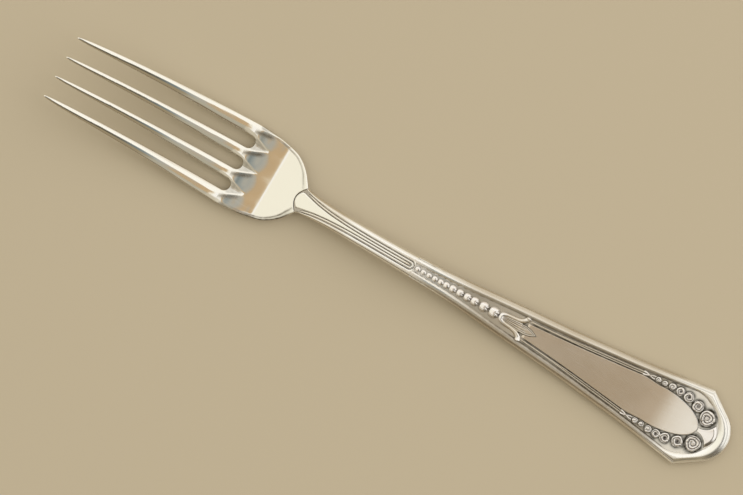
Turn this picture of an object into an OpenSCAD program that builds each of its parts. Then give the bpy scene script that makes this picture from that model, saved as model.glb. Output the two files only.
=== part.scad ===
// Dinner fork with four tines, a reeded shank and a struck handle.
// X runs from the tine tips (-X) to the end of the handle (+X), +Z is up, and the fork lies
// face up on z = 0 with the origin under the middle of its bounding box.

/* [Lengths] */
// Length of the whole fork
fork_l = 190; // [170:1:215]
// Length of a tine, from its tip to the crotch
tine_l = 51; // [42:0.5:60]
// Length of the bowl, from the crotch to the corners of the crescent groove
bowl_l = 17; // [14:0.5:21]
// Length of the reeded shank, from those corners to the first bead
shank_l = 32; // [26:0.5:40]
// Length of the tapered end, from the shoulders to the end of the handle
end_l = 9.5; // [8:0.1:12]

/* [Widths] */
// Width across the outer tines at their roots
head_w = 22.2; // [19:0.1:26]
// Distance between the points of the two outer tines
tip_w = 16.4; // [14:0.1:19]
// Width of the shank where it is narrowest
neck_w = 5.2; // [4.4:0.1:6.5]
// Width of the handle across its shoulders
handle_w = 21.4; // [19:0.1:25]
// Radius of the rounded end of the handle
end_r = 7.8; // [7:0.1:9]

/* [Tines] */
// Width of a gap between two tines at the crotch
gap_w = 3.2; // [2.6:0.1:3.6]
// Width of a tine's point
point_w = 0.5; // [0.3:0.05:0.8]
// Depth of a tine at its root
tine_t = 2.2; // [1.8:0.1:2.8]
// Height of the tine points above the table
tip_rise = 12.2; // [8:0.1:16]

/* [Body] */
// Thickness of the shank at its thickest
shank_t = 3.3; // [2.6:0.1:4]
// Thickness of the handle at its heel, to the top of the border
heel_t = 2.6; // [2.2:0.1:3.2]
// Thickness of the bowl plate
bowl_t = 2; // [1.6:0.1:2.6]
// Depth of the bowl's dish below its edges
dish = 1.1; // [0.6:0.1:1.6]
// Height of the underside of the neck above the table
neck_rise = 2.6; // [1:0.1:6]
// Width of the narrow bevel round the handle's edge
bevel_w = 0.9; // [0.5:0.05:1.2]
// Depth of that bevel
bevel_t = 0.5; // [0.2:0.05:0.8]

/* [Relief] */
// Height of the raised border and of the tablet over the sunk ground
border_t = 0.5; // [0.3:0.05:0.8]
// Width of the raised border along the sides of the handle
border_w = 1; // [0.8:0.05:1.3]
// Width of the raised border round the end
border_end_w = 2.3; // [1.6:0.1:2.6]
// Distance between the two legs of the hairpin thread
reed_pitch = 1.36; // [1.2:0.02:1.6]
// Width of one thread
thread_w = 0.44; // [0.3:0.02:0.5]
// Height of one thread
thread_t = 0.32; // [0.2:0.02:0.5]
// Diameter of the largest bead
bead_d = 2.75; // [2:0.05:2.9]
// Length of the bead row, between the middles of its first and last beads
bead_row_l = 21.8; // [20:0.1:26]
// Height of the largest rose
rose_t = 0.85; // [0.5:0.05:1.2]
// Width of the sunk lane beside the tablet that holds the two threads of a stem
lane_w = 1.15; // [1.05:0.05:1.4]
// Width of the sunk channel beside the tablet that holds the roses
channel_w = 2.1; // [1.8:0.05:2.4]
// Length of the tablet's rounded end
round_l = 12; // [10:0.5:14]
// Length of the smooth petal between the tablet and the border
end_petal_l = 5.1; // [4:0.1:6]
// Length of the calyx cup
cup_l = 6; // [5:0.1:7]
// Width of the calyx cup
cup_w = 3.2; // [2.8:0.1:3.6]
// Length of the pointed petal that shows beyond the cup
petal_l = 4.6; // [3.5:0.1:6]
// Width of the worn flat along the back of the bowl
foot_w = 3; // [2:0.5:5]

/* [Hidden] */

// Clearance between a relief and the ground under it
seat = 0.04;
// Width of the groove that divides two members
seam = 0.08;
// How far the crescent groove bulges toward the bowl
crescent = 1.8;
// Half width of the bowl at the corners of the crescent groove
corner_w = 3.55;
// Half width of the sunk trough that holds the reeds
trough_w = 1.16;

// Places along the fork
x_tip = -fork_l / 2;
x_crotch = x_tip + tine_l;
x_corner = x_crotch + bowl_l;
x_bead = x_corner + shank_l;
x_end = fork_l / 2;
x_shoulder = x_end - end_l;
back_l = x_end - x_crotch;
handle_l = x_end - x_bead;
x_root = x_crotch - gap_w / 2;

// Heights of the underside as shares of tip_rise, over the tines from tip to crotch
tine_rise_shares = [[0, 1], [0.31, 0.49], [0.61, 0.18], [0.85, 0.06], [1, 0.016]];
// Heights of the underside as shares of neck_rise, from the crotch to the end
back_rise_shares = [[0.018, 0], [0.045, 0], [0.07, 0.09], [0.094, 0.26], [0.123, 0.4], [0.19, 0.73],
    [0.28, 0.96], [0.33, 1], [0.37, 0.96], [0.436, 0.73], [0.526, 0.42], [0.636, 0.22],
    [0.77, 0.05], [0.87, 0], [1, 0]];
// Thickness of the body as shares of the way from heel_t to shank_t, from crotch to end
body_t_shares = [[0.1, 0], [0.19, 0.85], [0.28, 1], [0.36, 0.95], [0.436, 0.6], [0.526, 0.4],
    [0.636, 0.25], [0.77, 0.1], [0.9, 0], [1, 0]];
// Half widths of the bowl as shares of the way from corner_w to head_w / 2
bowl_w_shares = [[0, 1], [0.29, 0.95], [0.455, 0.885], [0.62, 0.79], [0.745, 0.63],
    [0.86, 0.4], [0.96, 0.11], [1, 0]];
// Half widths of the shank between its corner and its narrowest place
neck_w_shares = [[0, 1], [0.1, 0.5], [0.33, 0.2], [0.66, 0.04], [1, 0]];
// Half widths of the handle between its narrowest place and the shoulders
handle_w_shares = [[0, 0], [0.06, 0.005], [0.13, 0.02], [0.19, 0.04], [0.25, 0.065],
    [0.47, 0.28], [0.62, 0.43], [0.725, 0.565], [0.8, 0.665], [0.92, 0.86], [1, 1]];
// Depth of the dish from the tips to the tongue
dish_shares = [[0, 0], [0.35, 0.12], [0.62, 0.5], [0.75, 0.8], [0.84, 1], [0.92, 0.6], [1, 0]];
// Width of a tine from its tip to its crotch
tine_w_shares = [[0, 0], [0.03, 0.16], [0.1, 0.31], [0.31, 0.51], [0.61, 0.72], [0.85, 0.93],
    [1, 1]];
// Depth of a tine from its tip to its crotch
tine_t_shares = [[0, 0.26], [0.05, 0.42], [0.2, 0.6], [0.6, 0.86], [0.85, 1], [1, 1]];
// Places of the beads along their row, and their diameters as shares of the largest
bead_place_share = [0, 0.074, 0.148, 0.224, 0.301, 0.375, 0.46, 0.554, 0.651, 0.747, 0.869, 1];
bead_d_share = [0.45, 0.45, 0.45, 0.47, 0.49, 0.55, 0.65, 0.7, 0.74, 0.79, 0.9, 1];

// Slope of a cubic that never overshoots, at entry i of a table of [place, value] pairs
function rate(t, i) = (t[i + 1][1] - t[i][1]) / (t[i + 1][0] - t[i][0]);
function slope(t, i) = i <= 0 ? rate(t, 0) : i >= len(t) - 1 ? rate(t, len(t) - 2)
    : rate(t, i - 1) * rate(t, i) <= 0 ? 0
    : 2 * rate(t, i - 1) * rate(t, i) / (rate(t, i - 1) + rate(t, i));
function span(t, x, i = 0) = (i >= len(t) - 2 || x < t[i + 1][0]) ? i : span(t, x, i + 1);
function cubic(a, b, ma, mb, u) = a * (2 * u ^ 3 - 3 * u ^ 2 + 1) + ma * (u ^ 3 - 2 * u ^ 2 + u)
    + b * (3 * u ^ 2 - 2 * u ^ 3) + mb * (u ^ 3 - u ^ 2);
function piece(t, x, i, l) = cubic(t[i][1], t[i + 1][1], slope(t, i) * l, slope(t, i + 1) * l,
    (x - t[i][0]) / l);
// Value of a smooth curve through a table, held at its two ends
function flow(t, x) = x <= t[0][0] ? t[0][1]
    : x >= t[len(t) - 1][0] ? t[len(t) - 1][1]
    : let (i = span(t, x)) piece(t, x, i, t[i + 1][0] - t[i][0]);
// Moves shares to a stretch of the fork that starts at x0, is l long, and scales them
function placed(shares, x0, l, v0, v1) = [for (s = shares) [x0 + s[0] * l, v0 + s[1] * (v1 - v0)]];

// Height of the underside along the middle
under_pts = concat(placed(tine_rise_shares, x_tip, tine_l, 0, tip_rise),
    placed(back_rise_shares, x_crotch, back_l, 0, neck_rise));
function under(x) = flow(under_pts, x);

// Half width of the outline behind the crotch
narrow_l = 0.5 * shank_l;
x_narrow = x_corner + narrow_l;
width_pts = concat(placed(bowl_w_shares, x_crotch, bowl_l, corner_w, head_w / 2),
    [for (s = neck_w_shares) if (s[0] > 0)
        [x_corner + s[0] * narrow_l, neck_w / 2 + s[1] * (corner_w - neck_w / 2)]],
    [for (s = handle_w_shares) if (s[0] > 0)
        [x_narrow + s[0] * (x_shoulder - x_narrow), neck_w / 2 + s[1] * (handle_w - neck_w) / 2]]);
// The end is a straight edge from each shoulder, tangent to the round end
x_round = x_end - end_r;
shoulder_reach = norm([x_shoulder - x_round, handle_w / 2]);
tangent_a = atan2(handle_w / 2, x_shoulder - x_round) - acos(end_r / shoulder_reach);
x_tangent = x_round + end_r * cos(tangent_a);
function end_half(x) = x <= x_tangent
    ? handle_w / 2 - (handle_w / 2 - end_r * sin(tangent_a)) * (x - x_shoulder) / (x_tangent - x_shoulder)
    : sqrt(max(0, end_r ^ 2 - (x - x_round) ^ 2));
function half(x) = x <= x_shoulder ? flow(width_pts, x) : end_half(x);

// Thickness of the body, and depth of the dish
body_t_pts = concat([[x_crotch, bowl_t]],
    placed(body_t_shares, x_crotch, back_l, heel_t, shank_t));
function body_t(x) = flow(body_t_pts, x);
function dish_at(x) = dish * flow(placed(dish_shares, x_tip, tine_l + bowl_l, 0, 1), x);
// Rise of the bowl's sides, which starts beside the worn flat on its back
function side_rise(x, y) = dish_at(x) * (max(0, abs(y) - foot_w / 2) / (head_w / 2 - foot_w / 2)) ^ 2;
// Height of the border's top, and of the sunk ground
function top(x) = under(x) + body_t(x);
function ground(x) = top(x) - border_t;

// A closed solid from two grids of points of one size, an upper and a lower
module slab(upper, lower) {
    n = len(upper);
    m = len(upper[0]);
    pts = concat([for (r = upper) for (p = r) p], [for (r = lower) for (p = r) p]);
    low = n * m;
    function id(i, j) = i * m + j;
    faces = concat(
        [for (i = [0 : n - 2]) for (j = [0 : m - 2]) each
            [[id(i, j), id(i, j + 1), id(i + 1, j + 1)], [id(i, j), id(i + 1, j + 1), id(i + 1, j)]]],
        [for (i = [0 : n - 2]) for (j = [0 : m - 2]) each
            [[low + id(i, j), low + id(i + 1, j + 1), low + id(i, j + 1)],
             [low + id(i, j), low + id(i + 1, j), low + id(i + 1, j + 1)]]],
        [for (i = [0 : n - 2]) each
            [[id(i, 0), id(i + 1, 0), low + id(i + 1, 0)], [id(i, 0), low + id(i + 1, 0), low + id(i, 0)],
             [id(i, m - 1), low + id(i + 1, m - 1), id(i + 1, m - 1)],
             [id(i, m - 1), low + id(i, m - 1), low + id(i + 1, m - 1)]]],
        [for (j = [0 : m - 2]) each
            [[id(0, j), low + id(0, j + 1), id(0, j + 1)], [id(0, j), low + id(0, j), low + id(0, j + 1)],
             [id(n - 1, j), id(n - 1, j + 1), low + id(n - 1, j + 1)],
             [id(n - 1, j), low + id(n - 1, j + 1), low + id(n - 1, j)]]]);
    polyhedron(pts, faces, 2);
}

// A closed solid through rings of points, each ring in one plane
module skin(rings) {
    n = len(rings);
    m = len(rings[0]);
    pts = [for (r = rings) for (p = r) p];
    faces = concat(
        [for (i = [0 : n - 2]) for (j = [0 : m - 1]) each
            [[i * m + j, (i + 1) * m + j, (i + 1) * m + (j + 1) % m],
             [i * m + j, (i + 1) * m + (j + 1) % m, i * m + (j + 1) % m]]],
        [for (j = [1 : m - 2]) [0, j, j + 1]],
        [for (j = [1 : m - 2]) [(n - 1) * m, (n - 1) * m + j + 1, (n - 1) * m + j]]);
    polyhedron(pts, faces, 2);
}

// A half-round moulding of width w and height t along a plan route, seated on the ground
module moulding(route, w, t, sides = 5) {
    n = len(route);
    rings = [for (i = [0 : n - 1])
        let (a = route[max(0, i - 1)], b = route[min(n - 1, i + 1)], d = (b - a) / norm(b - a),
            p = route[i], ww = is_list(w) ? w[i] : w, tt = is_list(t) ? t[i] : t)
        [for (k = [0 : sides]) let (q = 180 * k / sides)
            [p[0] - d[1] * cos(q) * ww / 2, p[1] + d[0] * cos(q) * ww / 2,
             ground(p[0]) + seat + sin(q) * tt]]];
    skin(rings);
}

// Steps
tine_steps = 20;
bowl_steps = 14;
shank_steps = 22;
handle_steps = 34;

// Middle line of a tine: side is its place between the middle (0) and the outside (1)
gap_outer_y = 0.545 * head_w / 2;
outer_root_y = (head_w / 2 + gap_outer_y + gap_w / 2) / 2;
inner_root_y = (gap_outer_y) / 2;
function tine_y(x, outer) = let (u = (x - x_tip) / tine_l)
    outer ? tip_w / 2 + (outer_root_y - tip_w / 2) * u ^ 0.75
    : tip_w / 6 + (inner_root_y - tip_w / 6) * u ^ 0.75;
function tine_half(x, outer) = let (u = (x - x_tip) / tine_l, root = outer
        ? (head_w / 2 - gap_outer_y - gap_w / 2) / 2 : (gap_outer_y - gap_w) / 2)
    point_w / 2 + (root - point_w / 2) * flow(tine_w_shares, u);
function tine_depth(x) = tine_t * flow(tine_t_shares, (x - x_tip) / tine_l);
function tine_base(x, y) = under(x) + side_rise(x, y);
// Cross-section of a tine: a rounded back and a roof-shaped top
tine_ring_shares = [[-1, 0.5], [-0.92, 0.2], [-0.5, 0], [0.5, 0], [0.92, 0.2], [1, 0.5],
    [0.86, 0.78], [0.4, 0.95], [0, 1], [-0.4, 0.95], [-0.86, 0.78]];
module tine(outer) {
    places = [for (i = [0 : tine_steps]) let (u = i / tine_steps)
        x_tip + (x_root - x_tip) * (u < 0.5 ? 2 * u ^ 2 : 1 - 2 * (1 - u) ^ 2)];
    skin([for (x = places)
        let (y0 = tine_y(x, outer), h = tine_half(x, outer))
        [for (s = tine_ring_shares)
            let (y = y0 + s[0] * h)
            [x, y, tine_base(x, y) + s[1] * tine_depth(x)]]]);
}

module outer_tine_left() { color("silver") tine(true); }
module inner_tine_left() { color("silver") tine(false); }
module inner_tine_right() { color("silver") mirror([0, 1, 0]) tine(false); }
module outer_tine_right() { color("silver") mirror([0, 1, 0]) tine(true); }

// The bowl: a dished plate with a rounded edge, and three round crotches in its front
gap_middles = [-gap_outer_y, 0, gap_outer_y];
function crescent_at(v) = crescent * (1 - v ^ 2);
module bowl() {
    x0 = x_root + seam;
    front_half = half(x0);
    // Places across the front: both sides of each crotch, and the roots of the tines between
    crotches = [for (c = gap_middles) for (k = [-4 : 4]) (c + gap_w / 2 * sin(90 * k / 4)) / front_half];
    roots = [1, 0.97, (outer_root_y / front_half), (inner_root_y / front_half)];
    across = concat([-1, -0.97, -roots[2]], [for (k = [0 : 8]) crotches[k]], [-roots[3]],
        [for (k = [9 : 17]) crotches[k]], [roots[3]], [for (k = [18 : 26]) crotches[k]],
        [roots[2], 0.97, 1]);
    function notch(y) = max([for (c = gap_middles) sqrt(max(0, gap_w ^ 2 / 4 - (y - c) ^ 2))]);
    function edge_round(v) = 0.3 * bowl_t * v ^ 8;
    function thick(x, v) = bowl_t + (body_t(x) - bowl_t) * (x - x0) / (x_corner - x0)
        - 0.25 * bowl_t * v ^ 8;
    function spot(u, v, upper) =
        let (xf = x0 + notch(v * front_half), xe = x0 + (x_corner - x0) * u,
            x = xf + (x_corner - seam - crescent_at(v) - xf) * u,
            y = v * (u == 0 ? front_half : half(xe)),
            z = under(xe) + side_rise(xe, y) * (1 - u ^ 4))
        [x, y, z + (upper ? thick(xe, v) : edge_round(v))];
    color("gainsboro") slab(
        [for (i = [0 : bowl_steps]) [for (v = across) spot(i / bowl_steps, v, true)]],
        [for (i = [0 : bowl_steps]) [for (v = across) spot(i / bowl_steps, v, false)]]);
}

// Half width of the trough in the shank, which flares to the corners of the crescent
flare_shares = [[0, 1], [0.06, 0.72], [0.14, 0.42], [0.28, 0.16], [0.45, 0.03], [0.6, 0]];
function trough(x) = trough_w + (corner_w * 0.86 - trough_w) * flow(flare_shares, (x - x_corner) / shank_l);

// The shank: a bar with rounded edges and a sunk trough for the reeds
module shank() {
    // Each column is [share of the way from the trough to the edge, drop below the top]
    columns = [[0, border_t], [0.07, 0], [0.35, 0], [0.75, 0.12 * shank_t], [1, 0.42 * shank_t]];
    floor_shares = [-0.7, -0.35, 0, 0.35, 0.7];
    function side(x, c, s) = s * (trough(x) + seam + (half(x) - trough(x) - seam) * c);
    // Each place across is [y, drop below the top]
    function row(x) = concat([for (k = [4 : -1 : 0]) [side(x, columns[k][0], -1), columns[k][1]]],
        [for (f = floor_shares) [f * trough(x), border_t]],
        [for (k = [0 : 4]) [side(x, columns[k][0], 1), columns[k][1]]]);
    xs = [for (i = [0 : shank_steps]) x_corner + (x_bead - x_corner) * (i / shank_steps) ^ 1.35];
    function moved(x, y) = x - crescent_at(min(1, abs(y) / half(x_corner))) * ((x_bead - x) / shank_l) ^ 6;
    color("silver") slab(
        [for (x = xs) [for (p = row(x)) [moved(x, p[0]), p[0], top(moved(x, p[0])) - p[1]]]],
        [for (x = xs) [for (p = row(x)) [moved(x, p[0]), p[0],
            under(moved(x, p[0])) + 0.22 * shank_t * abs(p[0] / half(x)) ^ 4]]]);
}

// The tongue: a plain fan that narrows to the middle thread of the reeds
module tongue() {
    x0 = x_corner + 2 * seam;
    reach = x_bead - 2.2 * reed_pitch - x0;
    function fan(x) = max(thread_w / 2, trough(x) - trough_w + thread_w / 2 - thread_w
        * min(1, (x - x_corner) / shank_l * 6));
    xs = [for (i = [0 : 26]) x0 + reach * (i / 26) ^ 1.6];
    function moved(x, v) = x - crescent_at(v * 0.8) * max(0, 1 - (x - x0) / bowl_l * 2) ^ 2;
    crown = [for (k = [-3 : 3]) k / 3];
    color("gainsboro") slab(
        [for (x = xs) [for (v = crown) [moved(x, v), v * fan(x),
            ground(moved(x, v)) + 2 * seat + thread_t * (1 - 0.4 * v ^ 4)]]],
        [for (x = xs) [for (v = crown) [moved(x, v), v * fan(x), ground(moved(x, v)) + 2 * seat]]]);
}

// The reeds: one hairpin thread, its legs flaring to the corners of the crescent
module shank_reeds() {
    start = 2 * thread_w;
    leg = [for (i = [0 : 20]) let (x = x_corner + start
            + (shank_l - start - reed_pitch / 2 - thread_w) * (i / 20) ^ 1.3)
        [x, trough(x) - trough_w + reed_pitch / 2]];
    last = leg[20];
    turn = [for (k = [1 : 7]) let (a = 90 - 180 * k / 8)
        [last[0] + reed_pitch / 2 * cos(a), reed_pitch / 2 * sin(a)]];
    back = [for (i = [20 : -1 : 0]) [leg[i][0], -leg[i][1]]];
    color("silver") moulding(concat(leg, turn, back), thread_w, thread_t);
}

// The handle plate: sunk ground, bevelled edge and a flat back with rounded edges
module handle_plate() {
    straight = [for (i = [0 : handle_steps]) x_bead + seam + (x_shoulder - x_bead - seam) * i / handle_steps];
    arc = [for (k = [0 : 7]) let (a = tangent_a * (1 - k / 7) + 5 * k / 7) x_round + end_r * cos(a)];
    xs = concat(straight, [(x_shoulder + x_tangent) / 2], arc, [x_end]);
    columns = [-1, -1, -0.5, 0, 0.5, 1, 1];
    // A bevel that is never wider than a share of the half width, where the end closes
    function bev(x) = min(bevel_w, 0.5 * half(x));
    function width(x) = x >= x_end ? 0.06 * end_r : half(x);
    function place(x, k) = (k == 0 || k == 6) ? columns[k] * width(x)
        : columns[k] * (width(x) - min(bevel_w, 0.5 * width(x)));
    color("silver") slab(
        [for (x = xs) [for (k = [0 : 6]) [x, place(x, k), ground(x) - (k == 0 || k == 6 ? bevel_t : 0)]]],
        [for (x = xs) [for (k = [0 : 6]) [x, place(x, k),
            under(x) + (k == 0 || k == 6 ? 0.35 * heel_t : 0)]]]);
}

// The raised border: a half-round band inside the bevel, round the end in one piece
border_in = bevel_w + seam;
x_field = x_end - border_in - border_end_w;
x_side = x_shoulder - 0.37 * end_l;
side_w = half(x_side) - border_in - border_w;
// Half width of the sunk field inside the border, and how square its end is
field_power = 1.8;
function field(x) = x <= x_side ? half(x) - border_in - border_w
    : side_w * (1 - ((x - x_side) / (x_field - x_side)) ^ field_power) ^ (1 / field_power);
// Height of the border over the ground, at a place between its inner and outer edges
function band_rise(v) = v <= 0 || v >= 1 ? 0 : 2 * border_t * sqrt(v * (1 - v));
module raised_border() {
    // Places round the inner edge, in degrees, beside the shoulder's approach, corner and edge
    lead_turn = 78;
    corner_turn = 64;
    edge_turn = 54;
    round_turn = 45;
    // Each station is [outer point, inner point]
    sides = [for (i = [0 : 26]) let (x = x_bead + 2 * seam + (x_side - x_bead - 2 * seam) * i / 26)
        [[x, half(x) - border_in], [x, field(x)]]];
    lead_a = atan((half(x_shoulder) - half(x_side)) / (x_shoulder - x_side));
    lead = [-sin(lead_a), cos(lead_a)];
    run = [cos(tangent_a), sin(tangent_a)];
    corner = [x_shoulder, handle_w / 2] - border_in * (lead + run) / (1 + lead * run);
    function arc(a) = [x_round, 0] + (end_r - border_in) * [cos(a), sin(a)];
    function inner(b) = [x_side + (x_field - x_side) * cos(b) ^ (2 / field_power),
        side_w * sin(b) ^ (2 / field_power)];
    first = sides[26][0];
    turn = concat([[(first + corner) / 2, inner(lead_turn)], [corner, inner(corner_turn)],
            [(corner + arc(tangent_a)) / 2, inner(edge_turn)]],
        [for (k = [0 : 6]) [arc(tangent_a * (1 - k / 6)), inner(round_turn * (1 - k / 6))]]);
    near = concat(sides, turn);
    far = [for (i = [len(near) - 2 : -1 : 0]) [for (p = near[i]) [p[0], -p[1]]]];
    color("gainsboro") skin([for (st = concat(near, far))
        [for (k = [0 : 6]) let (v = (1 - cos(30 * k)) / 2, p = st[0] * (1 - v) + st[1] * v)
            [p[0], p[1], ground(p[0]) + seat + border_t * sin(30 * k)]]]);
}

// The beads: domes with a waist at the ground, graduated toward the calyx
bead_first = x_bead + 0.4 * bead_d;
function bead_x(i) = bead_first + bead_place_share[i] * bead_row_l;
module bead_row() {
    color("silver") for (i = [0 : len(bead_d_share) - 1]) {
        r = bead_d_share[i] * bead_d / 2;
        translate([bead_x(i), 0, ground(bead_x(i)) + seat + 0.02 * bead_d])
            rotate_extrude($fn = 32)
                intersection() {
                    scale([1, 0.86]) circle(r = r * 0.985, $fn = 32);
                    square([2 * r, 2 * r]);
                }
    }
}

// The calyx: a base with fluted petals, and two sepals whose tips curl out over the border
x_cup = bead_first + bead_row_l + bead_d * 0.62;
// Height of the calyx
cup_t = 0.8;
cup_shares = [[0, 0.6], [0.08, 0.95], [0.15, 0.97], [0.22, 0.5], [0.5, 0.54], [1, 0.62]];
// Middle line of a sepal from the cup to its tip, and its widths, in cup lengths
sepal_shares = [[0.26, 0.2], [0.5, 0.225], [0.72, 0.255], [0.88, 0.3], [1, 0.37], [1.06, 0.45],
    [1.07, 0.52], [1.04, 0.58]];
sepal_w_shares = [0.08, 0.09, 0.1, 0.12, 0.14, 0.14, 0.11, 0.07];
function border_over(x, y) = band_rise((y - field(x)) / (half(x) - border_in - field(x)));
module calyx() {
    flutes = 5;
    xs = [for (i = [0 : 14]) x_cup + cup_l * (i / 14) ^ 1.4];
    vs = [for (k = [-10 : 10]) k / 10];
    function h(u, v) = cup_t * (1 - 0.55 * v ^ 2) * (0.6 + 0.4 * min(1, u * 8)) * (1 - 0.35 * u)
        - 0.07 * cup_t * (1 - cos(360 * flutes * (v + 1) / 2));
    function at(i, v, z) = [xs[i], v * cup_w / 2 * flow(cup_shares, (xs[i] - x_cup) / cup_l),
        ground(xs[i]) + seat + z];
    color("silver") slab([for (i = [0 : 14]) [for (v = vs) at(i, v, h(i / 14, v))]],
        [for (i = [0 : 14]) [for (v = vs) at(i, v, 0)]]);
    last = len(sepal_shares) - 1;
    rings = [for (i = [0 : last])
        let (a = sepal_shares[max(0, i - 1)], b = sepal_shares[min(last, i + 1)], d = (b - a) / norm(b - a),
            p = [x_cup, 0] + cup_l * sepal_shares[i], w = cup_l * sepal_w_shares[i],
            lift = border_over(p[0], p[1] + w / 2) + (p[1] > field(p[0]) - w ? 2 * seam : 0))
        [for (k = [0 : 6]) [p[0] - d[1] * cos(30 * k) * w / 2, p[1] + d[0] * cos(30 * k) * w / 2,
            ground(p[0]) + seat + lift + sin(30 * k) * cup_t * 0.8]]];
    for (s = [1, -1])
        color("silver") mirror([0, s < 0 ? 1 : 0, 0]) skin(rings);
}

// The tablet: a plain field that follows the border, with an elliptical end
x_petal = x_cup + cup_l + seam;
x_tablet = x_cup + 1.22 * cup_l;
x_tablet_end = x_field - end_petal_l - 2 * seam;
x_wide = x_tablet_end - round_l;
wide_w = field(x_wide) - channel_w;
// The roses, from the smallest to the largest: where each touches the tablet, before its end, and
// its diameter, both as shares of the channel
rose_reach_shares = [6.95, 6.03, 5.08, 4.05, 2.95, 1.62, 0.43];
rose_d_shares = [0.66, 0.66, 0.87, 1.04, 1.19, 1.37, 2.05];
rose_gap_shares = [0.1, 0.1, 0.1, 0.12, 0.14, 0.13, 0.12];
rose_d = rose_d_shares[6] * channel_w;
// Length of a tie, and where the ties start
tie_l = 3.4;
x_tie = x_tablet_end - (rose_reach_shares[0] + rose_d_shares[0] * 0.5) * channel_w - tie_l - 2 * seam;
function lane(x) = lane_w + (channel_w - lane_w) * (1 - cos(180 * min(1, max(0, (x - x_tie) / (x_wide - x_tie))))) / 2;
function tablet_half(x) = x <= x_wide ? field(x) - lane(x)
    : wide_w * sqrt(max(0, 1 - ((x - x_wide) / round_l) ^ 2));
function tablet_top(x, v) = ground(x) + seat + border_t * (1 - 0.15 * v ^ 4);
module tablet() {
    xs = concat([for (i = [0 : 18]) x_tablet + (x_wide - x_tablet) * i / 18],
        [for (k = [1 : 8]) x_wide + round_l * sin(85 * k / 8)]);
    vs = [-1, -0.6, 0, 0.6, 1];
    color("tan") slab([for (x = xs) [for (v = vs) [x, v * tablet_half(x), tablet_top(x, v)]]],
        [for (x = xs) [for (v = vs) [x, v * tablet_half(x), ground(x) + seat]]]);
}

// The pointed petal beyond the cup, which lies on the start of the tablet
module calyx_petal() {
    petal_w = cup_w * 0.7;
    x0 = x_tablet + seam;
    reach = x_cup + cup_l + petal_l - x0;
    xs = concat([x_petal, x_tablet - 2 * seam, x_tablet - seam], [for (i = [0 : 8]) x0 + reach * i / 8 * 0.98]);
    vs = [for (k = [-4 : 4]) k / 4];
    function w(x) = petal_w / 2 * (cos(90 * ((x - x_petal) / petal_l) ^ 1.7) + 0.02);
    function low(x) = ground(x) + 2 * seat + (x < x_tablet - 1.5 * seam ? 0 : border_t);
    function high(x, v) = ground(x) + 2 * seat + border_t * (1.7 - 0.3 * v ^ 4);
    color("gainsboro") slab([for (x = xs) [for (v = vs) [x, v * w(x), high(x, v)]]],
        [for (x = xs) [for (v = vs) [x, v * w(x), low(x)]]]);
}

// The stems: two threads each, side by side in the lane, from the calyx to the tie
thread_gap = (lane_w - 2 * thread_w) / 3;
module stem() {
    x0 = x_cup + cup_l * 1.22;
    reach = x_tie - thread_w - x0;
    for (n = [0, 1])
        moulding([for (i = [0 : 14]) let (x = x0 + reach * i / 14)
            [x, tablet_half(x) + (n + 1) * thread_gap + (n + 0.5) * thread_w]], thread_w, thread_t);
}
module stem_left() { color("silver") stem(); }
module stem_right() { color("silver") mirror([0, 1, 0]) stem(); }

// The ties: two crossed bands each, where a stem meets its roses
module ribbon_ties() {
    // Each band is [start, end], as places across the lane
    bands = [[-0.2, 0.22], [0.24, -0.2]];
    for (s = [1, -1])
        color("gainsboro") mirror([0, s < 0 ? 1 : 0, 0]) union()
            for (b = [0, 1])
                moulding([for (i = [0 : 4]) let (x = x_tie + seam + tie_l * i / 4)
                    [x, tablet_half(x) + lane(x) / 2 + lane_w * (bands[b][0] + (bands[b][1] - bands[b][0]) * i / 4)]],
                    thread_w, thread_t * (1.2 + 0.2 * b));
}

// The roses: low domes with a spiral petal edge, graduated toward the end
// Turn of each rose against the one before it
rose_turn = 70;
module rose(d, t, turn) {
    rings = 6;
    rays = 16;
    function h(i, a) = t * (0.62 + 0.3 * cos(90 * i / rings) - 0.16 * cos(720 * i / rings + a + turn))
        * (i == rings ? 0.7 : 1);
    skirt = [for (i = [rings : -1 : 1]) [for (k = [0 : rays - 1]) let (a = 360 * k / rays)
        [d / 2 * i / rings * cos(a), d / 2 * i / rings * sin(a), h(i, a)]]];
    foot = [for (k = [0 : rays - 1]) let (a = 360 * k / rays) [d / 2 * cos(a), d / 2 * sin(a), 0]];
    skin(concat([foot], skirt));
}
module rose_row() {
    for (i = [0 : 6]) {
        d = rose_d_shares[i] * channel_w;
        x = x_tablet_end - rose_reach_shares[i] * channel_w;
        step = seam / 2;
        rise = (tablet_half(x + step) - tablet_half(x - step)) / (2 * step);
        spot = [x, tablet_half(x)] + (d / 2 + rose_gap_shares[i] * channel_w) * [-rise, 1] / norm([rise, 1]);
        translate([spot[0], spot[1], ground(spot[0]) + seat])
            rose(d, rose_t * (0.4 + 0.6 * rose_d_shares[i] / rose_d_shares[6]), rose_turn * i);
    }
}
module rose_row_left() { color("silver") rose_row(); }
module rose_row_right() { color("silver") mirror([0, 1, 0]) rose_row(); }

// The end petal: a smooth fan that opens between the two largest roses
module end_petal() {
    x0 = x_tablet_end + seam;
    us = [for (i = [0 : 8]) i / 8];
    vs = [for (k = [-5 : 5]) k / 5];
    function w(u) = rose_d * (0.13 + 0.62 * u ^ 2);
    function rise(u, v) = border_t * (0.5 + 0.8 * sin(160 * u)) * (1 - 0.3 * v ^ 2);
    function at(u, v, z) = let (x = x0 + end_petal_l * u * (1 - 0.3 * v ^ 2 * u))
        [x, v * w(u), ground(x) + seat + z];
    color("gainsboro") slab([for (u = us) [for (v = vs) at(u, v, rise(u, v))]],
        [for (u = us) [for (v = vs) at(u, v, 0)]]);
}

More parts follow.
